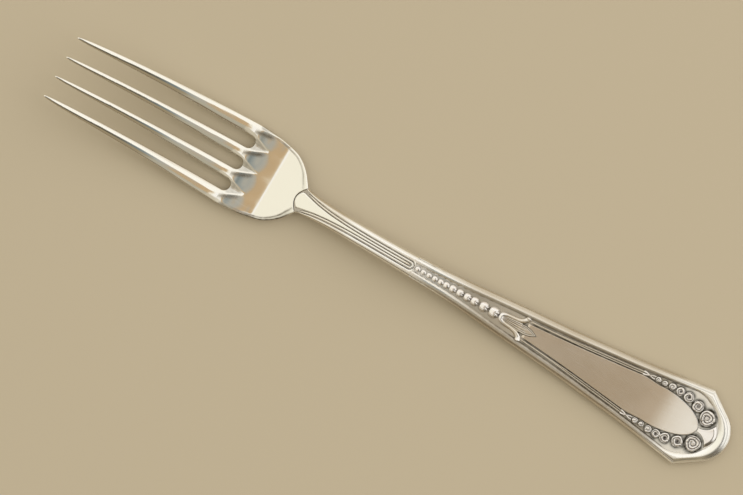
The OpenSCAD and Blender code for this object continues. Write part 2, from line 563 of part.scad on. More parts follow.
outer_tine_left();
inner_tine_left();
inner_tine_right();
outer_tine_right();
bowl();
shank();
tongue();
shank_reeds();
handle_plate();
raised_border();
bead_row();
calyx();
calyx_petal();
stem_left();
stem_right();
ribbon_ties();
tablet();
rose_row_left();
rose_row_right();
end_petal();
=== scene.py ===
"""Dresses the dinner fork: a bright head, a reeded shank and a satin handle with struck ornament."""
import logging
import math
from dataclasses import dataclass, replace
from enum import Enum
from typing import Callable, ClassVar, Sequence

import bmesh
import bpy
import numpy as np
from mathutils import Matrix, Vector


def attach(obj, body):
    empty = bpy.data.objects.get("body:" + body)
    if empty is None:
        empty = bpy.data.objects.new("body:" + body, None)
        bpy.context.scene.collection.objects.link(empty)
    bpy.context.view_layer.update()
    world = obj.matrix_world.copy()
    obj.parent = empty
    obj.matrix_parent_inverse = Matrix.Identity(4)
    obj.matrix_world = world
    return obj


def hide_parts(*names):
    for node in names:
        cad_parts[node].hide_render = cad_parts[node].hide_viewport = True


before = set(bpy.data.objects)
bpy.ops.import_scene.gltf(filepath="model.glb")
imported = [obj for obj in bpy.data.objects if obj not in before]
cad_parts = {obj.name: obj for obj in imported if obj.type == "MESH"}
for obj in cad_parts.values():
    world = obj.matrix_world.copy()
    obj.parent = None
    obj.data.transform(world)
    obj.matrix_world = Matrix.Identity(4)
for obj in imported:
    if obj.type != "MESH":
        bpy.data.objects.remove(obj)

LOG = logging.getLogger("fork")
MM = 0.001
MARK_DEPTH = 0.00002
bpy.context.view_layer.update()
Array = np.ndarray
FLOAT, COLOR, VECTOR = "NodeSocketFloat", "NodeSocketColor", "NodeSocketVector"


def smooth(low: float, high: float, value: Array) -> Array:
    """Rises from 0 where the value is low to 1 where it is high, without a corner; high may be the smaller."""
    u = np.clip((value - low) / (high - low), 0, 1)
    return u * u * (3 - 2 * u)


def eased(start: float, end: float, count: int, power: float) -> Array:
    """Spaces places from start to end, closer together at the start where power is over 1."""
    return start + (end - start) * np.linspace(0, 1, count) ** power


def bump(value: Array, at: Array | float, width: Array | float) -> Array:
    """Gives a bell that is 1 at one value and has faded to 0.37 at a width to each side of it."""
    return np.exp(-(((value - at) / width) ** 2))


def halo(away: Array, width: Array | float) -> Array:
    """Gives 1 inside an edge and a share that fades with the distance outside it."""
    return bump(np.maximum(away, 0), 0, width)


def rounding(depth: Array, radius: Array | float, power: float = 2.0, share: float = 1.0) -> Array:
    """Gives the fall of a rounded edge at a depth in from it, as a share of its radius; power 2 is round."""
    return 1 - np.sqrt(1 - share * (1 - np.clip(depth / radius, 0, 1)) ** power)


def slope(line: Callable[[Array], Array], x: Array, step: float = 0.05) -> Array:
    """Gives how steeply a line rises at each x, read at a step to each side."""
    return (line(x + step) - line(x - step)) / (2 * step)


def both_sides(shares: Sequence[float]) -> Array:
    """Mirrors shares that rise from 0, so that they run from -1 to 1."""
    return np.array([-share for share in shares[:0:-1]] + list(shares))


class Curve:
    """A smooth curve through [place, value] pairs that never overshoots them."""

    def __init__(self, table: Sequence[Sequence[float]]) -> None:
        """Works out the slope at each place.

        Args:
            table: Pairs of place and value, in order of place.
        """
        pairs = np.array(table, dtype=float)
        self.place, self.value = pairs[:, 0], pairs[:, 1]
        rate = np.diff(self.value) / np.diff(self.place)
        before, after = rate[:-1], rate[1:]
        total = np.where(before + after == 0, 1, before + after)
        inner = np.where(before * after <= 0, 0, 2 * before * after / total)
        self.slope = np.concatenate([rate[:1], inner, rate[-1:]])

    def __call__(self, x: Array) -> Array:
        """Reads the curve, held at its two ends.

        Args:
            x: The places.

        Returns:
            Its values there.
        """
        x = np.clip(x, self.place[0], self.place[-1])
        i = np.clip(np.searchsorted(self.place, x, side="right") - 1, 0, len(self.place) - 2)
        length = self.place[i + 1] - self.place[i]
        u = (x - self.place[i]) / length
        return (self.value[i] * (2 * u**3 - 3 * u**2 + 1) + self.slope[i] * length * (u**3 - 2 * u**2 + u)
                + self.value[i + 1] * (3 * u**2 - 2 * u**3) + self.slope[i + 1] * length * (u**3 - u**2))


def placed(shares: Sequence[Sequence[float]], start: float, length: float,
           low: float, high: float) -> list[list[float]]:
    """Moves pairs of shares to a stretch of the fork, with values that run from low to high."""
    return [[start + p * length, low + v * (high - low)] for p, v in shares]


@dataclass(frozen=True)
class ForkSizes:
    """The driving sizes of the fork, in millimetres."""

    fork_l: float = 190.0
    tine_l: float = 51.0
    bowl_l: float = 17.0
    shank_l: float = 32.0
    end_l: float = 9.5
    head_w: float = 22.2
    tip_w: float = 16.4
    neck_w: float = 5.2
    handle_w: float = 21.4
    end_r: float = 7.8
    gap_w: float = 3.2
    point_w: float = 0.5
    tine_t: float = 2.2
    tip_rise: float = 12.2
    shank_t: float = 3.3
    heel_t: float = 2.6
    bowl_t: float = 2.0
    dish: float = 1.1
    neck_rise: float = 2.6
    bevel_w: float = 0.9
    bevel_t: float = 0.5
    border_t: float = 0.5
    border_w: float = 1.0
    border_end_w: float = 2.3
    reed_pitch: float = 1.36
    bead_d: float = 2.75
    bead_row_l: float = 21.8
    rose_t: float = 0.85
    lane_w: float = 1.15
    channel_w: float = 2.1
    round_l: float = 12.0
    end_petal_l: float = 5.1
    cup_l: float = 6.0
    petal_l: float = 4.6
    foot_w: float = 3.0
    seat: float = 0.04
    seam: float = 0.08
    crescent: float = 1.8
    corner_w: float = 3.55
    trough_w: float = 1.16


class Profile:
    """The fork's outline, heights and thicknesses, as smooth functions of the place along it."""

    TINE_RISE = [[0, 1], [0.31, 0.49], [0.61, 0.18], [0.85, 0.06], [1, 0.016]]
    BACK_RISE = [[0.018, 0], [0.045, 0], [0.07, 0.09], [0.094, 0.26], [0.123, 0.4], [0.19, 0.73],
                 [0.28, 0.96], [0.33, 1], [0.37, 0.96], [0.436, 0.73], [0.526, 0.42], [0.636, 0.22],
                 [0.77, 0.05], [0.87, 0], [1, 0]]
    BODY_T = [[0.1, 0], [0.19, 0.85], [0.28, 1], [0.36, 0.95], [0.436, 0.6], [0.526, 0.4],
              [0.636, 0.25], [0.77, 0.1], [0.9, 0], [1, 0]]
    BOWL_W = [[0, 1], [0.29, 0.95], [0.455, 0.885], [0.62, 0.79], [0.745, 0.63], [0.86, 0.4],
              [0.96, 0.11], [1, 0]]
    NECK_W = [[0.1, 0.5], [0.33, 0.2], [0.66, 0.04], [1, 0]]
    HANDLE_W = [[0.06, 0.005], [0.13, 0.02], [0.19, 0.04], [0.25, 0.065], [0.47, 0.28], [0.62, 0.43],
                [0.725, 0.565], [0.8, 0.665], [0.92, 0.86], [1, 1]]
    DISH = [[0, 0], [0.35, 0.12], [0.62, 0.5], [0.75, 0.8], [0.84, 1], [0.92, 0.6], [1, 0]]
    TINE_W = [[0, 0], [0.03, 0.16], [0.1, 0.31], [0.31, 0.51], [0.61, 0.72], [0.85, 0.93], [1, 1]]
    TINE_T = [[0, 0.26], [0.05, 0.42], [0.2, 0.6], [0.6, 0.86], [0.85, 1], [1, 1]]
    FLARE = [[0, 1], [0.06, 0.72], [0.14, 0.42], [0.28, 0.16], [0.45, 0.03], [0.6, 0]]
    SAG = [[44, 0], [60, -0.07], [72, -0.155], [74, -0.158], [76, -0.157], [78, -0.154], [80, -0.142],
           [82, -0.116], [84, -0.076], [88, 0.022], [95, 0.2]]
    BEAD_PLACE = [0, 0.074, 0.148, 0.224, 0.301, 0.375, 0.46, 0.554, 0.651, 0.747, 0.869, 1]
    BEAD_D = [0.45, 0.45, 0.45, 0.47, 0.49, 0.55, 0.65, 0.7, 0.74, 0.79, 0.9, 1]
    ROSE_REACH = [6.95, 6.03, 5.08, 4.05, 2.95, 1.62, 0.43]
    ROSE_D = [0.66, 0.66, 0.87, 1.04, 1.19, 1.37, 2.05]
    ROSE_GAP = [0.1, 0.1, 0.1, 0.12, 0.14, 0.13, 0.12]
    FIELD_POWER = 1.8
    TIE_L = 3.4
    FIRST_CROWN = 0.26
    LINE_IN = 0.95

    def __init__(self, sizes: ForkSizes) -> None:
        """Places every member along the fork.

        Args:
            sizes: The driving sizes.
        """
        s = self.s = sizes
        self.x_tip = -s.fork_l / 2
        self.x_crotch = self.x_tip + s.tine_l
        self.x_corner = self.x_crotch + s.bowl_l
        self.x_bead = self.x_corner + s.shank_l
        self.x_end = s.fork_l / 2
        self.x_shoulder = self.x_end - s.end_l
        self.x_root = self.x_crotch - s.gap_w / 2
        back_l = self.x_end - self.x_crotch
        self.x_turn = self.x_bead - s.reed_pitch / 2 - 0.44
        self.under = Curve(placed(self.TINE_RISE, self.x_tip, s.tine_l, 0, s.tip_rise)
                           + placed(self.BACK_RISE, self.x_crotch, back_l, 0, s.neck_rise))
        self.body_t = Curve([[self.x_crotch, s.bowl_t]]
                            + placed(self.BODY_T, self.x_crotch, back_l, s.heel_t, s.shank_t))
        self.dish_at = Curve(placed(self.DISH, self.x_tip, s.tine_l + s.bowl_l, 0, s.dish))
        x_narrow = self.x_corner + s.shank_l / 2
        neck, corner = s.neck_w / 2, s.corner_w
        self.side = Curve(placed(self.BOWL_W, self.x_crotch, s.bowl_l, corner, s.head_w / 2)
                          + placed(self.NECK_W, self.x_corner, s.shank_l / 2, neck, corner)
                          + placed(self.HANDLE_W, x_narrow, self.x_shoulder - x_narrow, neck, s.handle_w / 2))
        self.x_round = self.x_end - s.end_r
        reach = math.hypot(self.x_shoulder - self.x_round, s.handle_w / 2)
        self.tangent_a = (math.atan2(s.handle_w / 2, self.x_shoulder - self.x_round)
                          - math.acos(s.end_r / reach))
        self.x_tangent = self.x_round + s.end_r * math.cos(self.tangent_a)
        self.gap_y = 0.545 * s.head_w / 2
        self.inner_y = self.gap_y / 2
        self.outer_y = (s.head_w / 2 + self.gap_y + s.gap_w / 2) / 2
        self.tine_w = Curve(self.TINE_W)
        self.tine_depth = Curve(placed(self.TINE_T, self.x_tip, s.tine_l, 0, s.tine_t))
        self.sag = Curve(self.SAG)
        self.flare = Curve(placed(self.FLARE, self.x_corner, s.shank_l, 0, 1))
        self.border_in = s.bevel_w + s.seam
        self.x_field = self.x_end - self.border_in - s.border_end_w
        self.x_side = self.x_shoulder - 0.37 * s.end_l
        self.side_w = float(self.half(self.x_side)) - self.border_in - s.border_w
        self.bead_first = self.x_bead + 0.4 * s.bead_d
        self.bead_x = self.bead_first + np.array(self.BEAD_PLACE) * s.bead_row_l
        self.bead_r = np.array(self.BEAD_D) * s.bead_d / 2
        self.x_cup = self.bead_first + s.bead_row_l + 0.62 * s.bead_d
        self.x_petal = self.x_cup + s.cup_l + s.seam
        self.x_tablet = self.x_cup + 1.22 * s.cup_l
        self.x_tablet_end = self.x_field - s.end_petal_l - 2 * s.seam
        self.x_wide = self.x_tablet_end - s.round_l
        self.x_tie = (self.x_tablet_end - (self.ROSE_REACH[0] + self.ROSE_D[0] / 2) * s.channel_w
                      - self.TIE_L - 2 * s.seam)
        self.wide_w = float(self.field(self.x_wide)) - s.channel_w
        self.roses = [self._rose(i) for i in range(7)]

    def half(self, x: Array) -> Array:
        """Gives the half width of the outline behind the crotch.

        Args:
            x: Places along the fork.

        Returns:
            The half widths.
        """
        x = np.asarray(x, dtype=float)
        s = self.s
        flat = s.end_r * math.sin(self.tangent_a)
        fall = (s.handle_w / 2 - flat) * (x - self.x_shoulder) / (self.x_tangent - self.x_shoulder)
        arc = np.sqrt(np.maximum(0, s.end_r**2 - (x - self.x_round) ** 2))
        behind = np.where(x <= self.x_tangent, s.handle_w / 2 - fall, arc)
        return np.where(x <= self.x_shoulder, self.side(x), behind)

    def tine_share(self, x: Array) -> Array:
        """Gives how far along a tine a place is, 0 at its tip and 1 at its root."""
        return np.clip((x - self.x_tip) / (self.x_root - self.x_tip), 0, 1)

    def tine_top(self, x: Array) -> Array:
        """Gives the height of the top of the tines."""
        return self.under(x) + self.tine_depth(x)

    def side_rise(self, x: Array, y: Array) -> Array:
        """Gives how far the bowl's sides rise beside the flat on its back."""
        flat = self.s.foot_w / 2
        return self.dish_at(x) * (np.maximum(0, np.abs(y) - flat) / (self.s.head_w / 2 - flat)) ** 2

    def top(self, x: Array) -> Array:
        """Gives the height of the top of the body."""
        return self.under(x) + self.body_t(x)

    def ground(self, x: Array) -> Array:
        """Gives the height of the sunk ground between the reliefs."""
        return self.top(x) - self.s.border_t + self.sag(x)

    def bed(self, x: Array) -> Array:
        """Gives the height of the seats that the reliefs stand in."""
        return self.ground(x) + self.s.seat

    def trough(self, x: Array) -> Array:
        """Gives the half width of the trough that holds the reeds."""
        return self.s.trough_w + (0.86 * self.s.corner_w - self.s.trough_w) * self.flare(x)

    def field(self, x: Array) -> Array:
        """Gives the half width of the sunk field inside the border.

        Args:
            x: Places along the fork.

        Returns:
            The half widths.
        """
        x = np.asarray(x, dtype=float)
        u = np.clip((x - self.x_side) / (self.x_field - self.x_side), 0, 1)
        end = self.side_w * (1 - u**self.FIELD_POWER) ** (1 / self.FIELD_POWER)
        return np.where(x <= self.x_side, self.half(x) - self.border_in - self.s.border_w, end)

    def lane(self, x: Array) -> Array:
        """Gives the width of the sunk lane between the tablet and the border."""
        s = self.s
        return s.lane_w + (s.channel_w - s.lane_w) * smooth(self.x_tie, self.x_wide, np.asarray(x, dtype=float))

    def tablet_half(self, x: Array) -> Array:
        """Gives the half width of the tablet.

        Args:
            x: Places along the fork.

        Returns:
            The half widths.
        """
        u = (np.asarray(x, dtype=float) - self.x_wide) / self.s.round_l
        end = self.wide_w * np.sqrt(np.maximum(0, 1 - u**2))
        return np.where(u <= 0, self.field(x) - self.lane(x), end)

    def band(self, x: Array, deep: Array, inner: Array) -> Array:
        """Gives the height of the rounded band over the ground.

        Args:
            x: Places along the fork.
            deep: How far in from the outline each place is.
            inner: How far in the band's inner edge is.

        Returns:
            The heights; outside the band's crown they fall to the outline.
        """
        s = self.s
        crown = self.FIRST_CROWN + (s.border_t - self.FIRST_CROWN) * smooth(self.x_bead + 8, self.x_side, x)
        at = 0.98 + 0.45 * (inner - 1.45)
        out = np.clip(1 - deep / at, 0, 1)
        down = np.clip((deep - at) / (inner - at), 0, 1)
        line = 0.09 * smooth(self.x_tie, self.x_side, x) * bump(deep, self.LINE_IN, 0.14)
        late = crown - (crown + s.bevel_t) * out**1.7 - crown * down**2.0 - line
        wall = np.clip((deep - inner + 0.5) / 0.5, 0, 1)
        early = s.border_t - 0.4 * s.shank_t * rounding(deep, 1.25, 2.2) - s.border_t * wall**2
        return early + (late - early) * smooth(self.x_bead, self.x_bead + 12, x)

    def border_over(self, x: Array, y: Array) -> Array:
        """Gives the height of the border over the ground at a place."""
        inner = self.border_in + self.s.border_w
        return np.maximum(0, self.band(x, self.half(x) - np.abs(y), np.full_like(x, inner)))

    def _rose(self, i: int) -> tuple[float, float, float]:
        """Places a rose against the tablet.

        Args:
            i: Its number, from the smallest.

        Returns:
            Its place along the fork, across it, and its diameter.
        """
        s = self.s
        d = self.ROSE_D[i] * s.channel_w
        x = self.x_tablet_end - self.ROSE_REACH[i] * s.channel_w
        rise = float(slope(self.tablet_half, x, s.seam / 2))
        reach = (d / 2 + self.ROSE_GAP[i] * s.channel_w) / math.hypot(rise, 1)
        return x - rise * reach, float(self.tablet_half(x)) + reach, d


class Form:
    """A closed mesh in the making, in millimetres, with a share of darkening at each point: dark patina in the
    hollows and painted shade.
    """

    def __init__(self) -> None:
        """Starts with no points."""
        self.points: list[Array] = []
        self.hollow_patina_and_shade: list[Array] = []
        self.faces: list[list[int]] = []
        self.count = 0

    def add(self, points: Array, hollow_patina_and_shade: Array | float = 0.0) -> Array:
        """Adds points.

        Args:
            points: Their places, in a grid of any shape, with x, y and z last.
            hollow_patina_and_shade: The darkening at each, or at all of them: dark patina and painted shade.

        Returns:
            Their numbers, in the same grid.
        """
        flat = points.reshape(-1, 3)
        ids = self.count + np.arange(len(flat)).reshape(points.shape[:-1])
        self.points.append(flat)
        self.hollow_patina_and_shade.append(np.broadcast_to(np.asarray(hollow_patina_and_shade, dtype=float).reshape(-1), (len(flat),)))
        self.count += len(flat)
        return ids

    def fill(self, *corners: Array) -> None:
        """Adds a face of four corners for each place in four grids of numbers."""
        self.faces.extend(np.stack([grid.ravel() for grid in corners], 1).tolist())

    def slab(self, x: Array, y: Array, top: Array, foot: Array, hollow_patina_and_shade: Array | float = 0.0,
             foot_patina_and_shade: float = 0.0) -> None:
        """Adds a closed solid between two surfaces over one grid.

        Args:
            x: Places along the fork, in rows along it.
            y: Places across it.
            top: The heights of the upper surface.
            foot: The heights of the lower one.
            hollow_patina_and_shade: The darkening of the upper surface: dark patina and painted shade.
            foot_patina_and_shade: The painted shade on the lower one, which the walls blend into.
        """
        x, y, top, foot, hollow_patina_and_shade = np.broadcast_arrays(x, y, top, foot, hollow_patina_and_shade)
        up = self.add(np.stack([x, y, top], 2), hollow_patina_and_shade)
        low = self.add(np.stack([x, y, foot], 2), foot_patina_and_shade)
        self.fill(up[:-1, :-1], up[1:, :-1], up[1:, 1:], up[:-1, 1:])
        self.fill(low[:-1, :-1], low[:-1, 1:], low[1:, 1:], low[1:, :-1])
        self.fill(up[:-1, 0], low[:-1, 0], low[1:, 0], up[1:, 0])
        self.fill(up[1:, -1], low[1:, -1], low[:-1, -1], up[:-1, -1])
        self.fill(up[0, :-1], up[0, 1:], low[0, 1:], low[0, :-1])
        self.fill(up[-1, 1:], up[-1, :-1], low[-1, :-1], low[-1, 1:])

    def tube(self, rings: Array, hollow_patina_and_shade: Array | float = 0.0) -> None:
        """Adds a closed solid through rings of points.

        Args:
            rings: The rings, then the points round each, then x, y and z.
            hollow_patina_and_shade: The darkening at each point of each ring: dark patina and painted shade.
        """
        ids = self.add(rings, hollow_patina_and_shade)
        after = np.roll(ids, -1, axis=1)
        self.fill(ids[:-1], ids[1:], after[1:], after[:-1])
        self.faces.append(ids[0].tolist())
        self.faces.append(ids[-1][::-1].tolist())

    def dome(self, rings: Array, crown: Array, hollow_patina_and_shade: Array | float = 0.0, crown_patina_and_shade: float = 0.0) -> None:
        """Adds a closed dome: rings from its foot to its crown.

        Args:
            rings: The rings from the foot up, then the points round each, then x, y and z.
            crown: The point at the top.
            hollow_patina_and_shade: The darkening at each point of each ring: dark patina and painted shade.
            crown_patina_and_shade: The darkening at the top.
        """
        ids = self.add(rings, hollow_patina_and_shade)
        tip = int(self.add(crown, crown_patina_and_shade))
        after = np.roll(ids, -1, axis=1)
        self.fill(ids[:-1], after[:-1], after[1:], ids[1:])
        self.faces.append(ids[0][::-1].tolist())
        self.faces.extend([[int(a), int(b), tip] for a, b in zip(ids[-1], after[-1])])

    def build(self, name: str, sharp: float) -> bpy.types.Object:
        """Makes the object.

        Args:
            name: Its name.
            sharp: The angle between faces, in degrees, from which an edge is crisp.

        Returns:
            The object, linked to the scene.
        """
        mesh = bpy.data.meshes.new(name)
        points = np.concatenate(self.points) * MM
        mesh.from_pydata(points.tolist(), [], self.faces)
        # The mask darkens the colour: dark patina in the hollows, and painted shade in creases, beside reliefs and
        # on the shaded side.
        mask = mesh.attributes.new("hollow_patina_and_shade", "FLOAT", "POINT")
        mask.data.foreach_set("value", np.concatenate(self.hollow_patina_and_shade).astype("f"))
        work = bmesh.new()
        work.from_mesh(mesh)
        bmesh.ops.recalc_face_normals(work, faces=work.faces)
        limit = math.radians(sharp)
        for face in work.faces:
            face.smooth = True
        for edge in work.edges:
            edge.smooth = len(edge.link_faces) == 2 and edge.calc_face_angle(0) < limit
        work.to_mesh(mesh)
        work.free()
        piece = bpy.data.objects.new(name, mesh)
        bpy.context.scene.collection.objects.link(piece)
        return piece


def sweep(route: Array, width: Array, height: Array | float, bed: Callable[[Array], Array], flat: float,
          sides: int = 10, lift: Array | float = 0.0) -> tuple[Array, Array]:
    """Runs a half-round moulding along a route.

    Args:
        route: Places along it, x and y.
        width: The width at each place.
        height: The height at each place.
        bed: Gives the height of what it lies on.
        flat: Under 1, how much flatter than round its crown is.
        sides: How many facets its round has.
        lift: How far it is raised, at each place.

    Returns:
        Its rings, and at each point of them the darkening low on the flanks: painted shade and dark patina.
    """
    ahead = np.gradient(route, axis=0)
    ahead /= np.linalg.norm(ahead, axis=1)[:, None]
    across = np.stack([-ahead[:, 1], ahead[:, 0]], 1)
    turn = np.linspace(0, math.pi, sides + 1)
    up = np.sin(turn) ** flat
    width, height, lift = (np.broadcast_to(v, (len(route),)) for v in (width, height, lift))
    out = np.cos(turn) * width[:, None] / 2
    spots = route[:, None, :] + across[:, None, :] * out[:, :, None]
    z = (bed(route[:, 0]) + lift)[:, None] + up * height[:, None]
    # Painted shade with dark patina: each moulding darkens low on its flanks, near the bed.
    hollow_patina_and_shade = np.broadcast_to(np.clip(1 - 1.9 * up, 0, 1), z.shape)
    return np.concatenate([spots, z[:, :, None]], 2), hollow_patina_and_shade


class Slot(Enum):
    """The record's material slots."""

    POLISHED = "polished_plate"
    SATIN = "satin_plate"
    RELIEF = "relief_plate"


@dataclass(frozen=True)
class Plating:
    """A silver plate's finish: its metal, its patina, its wear, and the dark colour laid by the mask as dark patina
    and painted shade.
    """

    name: str
    slot: Slot
    metal: tuple[float, float, float]
    patina: tuple[float, float, float]
    patina_share: float
    # The colour of the darkening: dark patina in the hollows and painted shade.
    hollow_patina_and_shade: tuple[float, float, float]
    roughness: float
    haze: float
    scratch: float
    grain: float = 0.02
    patina_start: float = -301.0
    patina_full: float = -300.0
    patina_fade: float = 300.0
    patina_end: float = 301.0

    def material(self) -> bpy.types.Material:
        """Builds the finish as a material.

        Returns:
            The material.
        """
        mat = bpy.data.materials.new(self.name)
        mat.use_nodes = True
        tree = mat.node_tree
        shader = tree.nodes["Principled BSDF"]
        feed(tree, shader.inputs["Metallic"], 1.0)
        place = tree.nodes.new("ShaderNodeTexCoord").outputs["Object"]
        mask = tree.nodes.new("ShaderNodeAttribute")
        mask.attribute_name = "hollow_patina_and_shade"
        tone = group_node(tree, patina_and_shade_group(), {
            "Place": place, "Darkening Share": mask.outputs["Fac"], "Metal": (*self.metal, 1),
            "Patina": (*self.patina, 1), "Dark Patina And Shade": (*self.hollow_patina_and_shade, 1), "Patina Share": self.patina_share,
            "Roughness": self.roughness, "Haze": self.haze, "Patina Start": self.patina_start * MM,
            "Patina Full": self.patina_full * MM, "Patina Fade": self.patina_fade * MM,
            "Patina End": self.patina_end * MM})
        feed(tree, shader.inputs["Base Color"], tone.outputs["Color"])
        feed(tree, shader.inputs["Roughness"], tone.outputs["Roughness"])
        marks = group_node(tree, scratch_group(), {"Place": place, "Scratch": self.scratch, "Grain": self.grain})
        relief = tree.nodes.new("ShaderNodeBump")
        feed(tree, relief.inputs["Strength"], 1.0)
        feed(tree, relief.inputs["Distance"], MARK_DEPTH)
        feed(tree, relief.inputs["Height"], marks.outputs["Height"])
        feed(tree, shader.inputs["Normal"], relief.outputs["Normal"])
        return mat


def feed(tree: bpy.types.NodeTree, socket: bpy.types.NodeSocket, value: object) -> None:
    """Gives a socket its value.

    Args:
        tree: The tree it is in.
        socket: The socket.
        value: A number, a colour, or the output to link it to.
    """
    if isinstance(value, bpy.types.NodeSocket):
        tree.links.new(value, socket)
    else:
        socket.default_value = value


def new_group(name: str, takes: Sequence[tuple[str, str]], gives: Sequence[tuple[str, str]]
              ) -> tuple[bpy.types.NodeTree, bpy.types.Node, bpy.types.Node]:
    """Starts a shader node group.

    Args:
        name: Its name.
        takes: The name and socket type of each input.
        gives: The name and socket type of each output.

    Returns:
        The group, its input node and its output node.
    """
    tree = bpy.data.node_groups.new(name, "ShaderNodeTree")
    for label, kind in takes:
        tree.interface.new_socket(label, in_out="INPUT", socket_type=kind)
    for label, kind in gives:
        tree.interface.new_socket(label, in_out="OUTPUT", socket_type=kind)
    return tree, tree.nodes.new("NodeGroupInput"), tree.nodes.new("NodeGroupOutput")


def group_node(tree: bpy.types.NodeTree, group: bpy.types.NodeTree, values: dict[str, object]) -> bpy.types.Node:
    """Places a shader node group.

    Args:
        tree: The tree it goes in.
        group: The group.
        values: The value of each input, by name.

    Returns:
        The node.
    """
    node = tree.nodes.new("ShaderNodeGroup")
    node.node_tree = group
    for label, value in values.items():
        feed(tree, node.inputs[label], value)
    return node


def math_node(tree: bpy.types.NodeTree, operation: str, *values: object, clamp: bool = False
              ) -> bpy.types.NodeSocket:
    """Adds a math node.

    Args:
        tree: The tree it goes in.
        operation: What it does.
        values: Its values, numbers or sockets.
        clamp: Whether the result is held from 0 to 1.

    Returns:
        The socket with the result.
    """
    node = tree.nodes.new("ShaderNodeMath")
    node.operation = operation
    node.use_clamp = clamp
    for socket, value in zip(node.inputs, values):
        feed(tree, socket, value)
    return node.outputs[0]


def blend_node(tree: bpy.types.NodeTree, share: bpy.types.NodeSocket, first: object, second: object
               ) -> bpy.types.NodeSocket:
    """Adds a node that goes from one colour to another.

    Args:
        tree: The tree it goes in.
        share: How much of the second colour.
        first: The first colour, as numbers or a socket.
        second: The second colour.

    Returns:
        The socket with the colour.
    """
    node = tree.nodes.new("ShaderNodeMix")
    node.data_type = "RGBA"
    for index, value in ((0, share), (6, first), (7, second)):
        feed(tree, node.inputs[index], value)
    return node.outputs[2]


def noise_node(tree: bpy.types.NodeTree, place: bpy.types.NodeSocket, scale: float, stretch: Sequence[float],
               turn: float = 0.0, detail: float = 3.0) -> bpy.types.NodeSocket:
    """Adds noise over the surface.

    Args:
        tree: The tree it goes in.
        place: The place on the object.
        scale: How fine it is, per metre.
        stretch: How much finer it is along each axis.
        turn: Its turn about the upright axis, in degrees.
        detail: How many finer layers it has.

    Returns:
        The socket with the noise.
    """
    mapping = tree.nodes.new("ShaderNodeMapping")
    mapping.inputs["Rotation"].default_value = (0, 0, math.radians(turn))
    mapping.inputs["Scale"].default_value = stretch
    noise = tree.nodes.new("ShaderNodeTexNoise")
    noise.inputs["Scale"].default_value = scale
    noise.inputs["Detail"].default_value = detail
    tree.links.new(place, mapping.inputs["Vector"])
    tree.links.new(mapping.outputs["Vector"], noise.inputs["Vector"])
    return noise.outputs["Fac"]


def range_node(tree: bpy.types.NodeTree, value: bpy.types.NodeSocket, low: object, high: object,
               start: float = 0.0, end: float = 1.0) -> bpy.types.NodeSocket:
    """Adds a smooth rise from one value to another.

    Args:
        tree: The tree it goes in.
        value: What it reads.
        low: Where the rise starts.
        high: Where it ends.
        start: The result at low.
        end: The result at high.

    Returns:
        The socket with the result.
    """
    node = tree.nodes.new("ShaderNodeMapRange")
    node.interpolation_type = "SMOOTHSTEP"
    for socket, number in (("Value", value), ("From Min", low), ("From Max", high), ("To Min", start),
                           ("To Max", end)):
        feed(tree, node.inputs[socket], number)
    return node.outputs["Result"]


def tint(tree: bpy.types.NodeTree, color: object, steps: Sequence[tuple]) -> bpy.types.NodeSocket:
    """Blends one colour after another into a first.

    Args:
        tree: The tree that the nodes go in.
        color: The first colour.
        steps: For each blend, what it reads, where it starts and ends, and the next colour.

    Returns:
        The socket with the last colour.
    """
    for value, start, end, after in steps:
        color = blend_node(tree, range_node(tree, value, start, end), color, after)
    return color


def patina_and_shade_group() -> bpy.types.NodeTree:
    """Gives the group that lays patina on silver plate and darkens it by the mask with dark patina and painted
    shade, built once.

    Returns:
        The group.
    """
    made = bpy.data.node_groups.get("patina_and_painted_shade")
    if made:
        return made
    tree, takes, gives = new_group("patina_and_painted_shade", (
        ("Place", VECTOR), ("Darkening Share", FLOAT), ("Metal", COLOR), ("Patina", COLOR), ("Dark Patina And Shade", COLOR),
        ("Patina Share", FLOAT), ("Roughness", FLOAT), ("Haze", FLOAT), ("Patina Start", FLOAT),
        ("Patina Full", FLOAT), ("Patina Fade", FLOAT), ("Patina End", FLOAT)),
        (("Color", COLOR), ("Roughness", FLOAT)))
    links = tree.links
    place = takes.outputs["Place"]
    cloud = noise_node(tree, place, 55, (1, 1.6, 1), turn=20)
    fleck = noise_node(tree, place, 900, (1, 1, 1), detail=2)
    split = tree.nodes.new("ShaderNodeSeparateXYZ")
    links.new(place, split.inputs[0])
    rise, fall = (range_node(tree, split.outputs["X"], takes.outputs[low], takes.outputs[high])
                  for low, high in (("Patina Start", "Patina Full"), ("Patina End", "Patina Fade")))
    along = math_node(tree, "MULTIPLY", rise, fall)
    film = math_node(tree, "MULTIPLY", range_node(tree, cloud, 0.3, 0.7, 0.75, 1.0), along)
    film = math_node(tree, "MULTIPLY", film, takes.outputs["Patina Share"], clamp=True)
    body = blend_node(tree, film, takes.outputs["Metal"], takes.outputs["Patina"])
    worn = range_node(tree, fleck, 0.2, 0.7, 0.7, 1.15)
    # Darkening by the mask, varied by flecks: dark patina in the hollows and painted shade.
    dirt_and_shade = math_node(tree, "MULTIPLY", takes.outputs["Darkening Share"], worn, clamp=True)
    links.new(blend_node(tree, dirt_and_shade, body, takes.outputs["Dark Patina And Shade"]), gives.inputs["Color"])
    haze = math_node(tree, "MULTIPLY", math_node(tree, "SUBTRACT", cloud, 0.5), takes.outputs["Haze"])
    rough = math_node(tree, "ADD", takes.outputs["Roughness"], haze)
    rough = math_node(tree, "ADD", rough, math_node(tree, "MULTIPLY", dirt_and_shade, 0.3), clamp=True)
    links.new(rough, gives.inputs["Roughness"])
    return tree


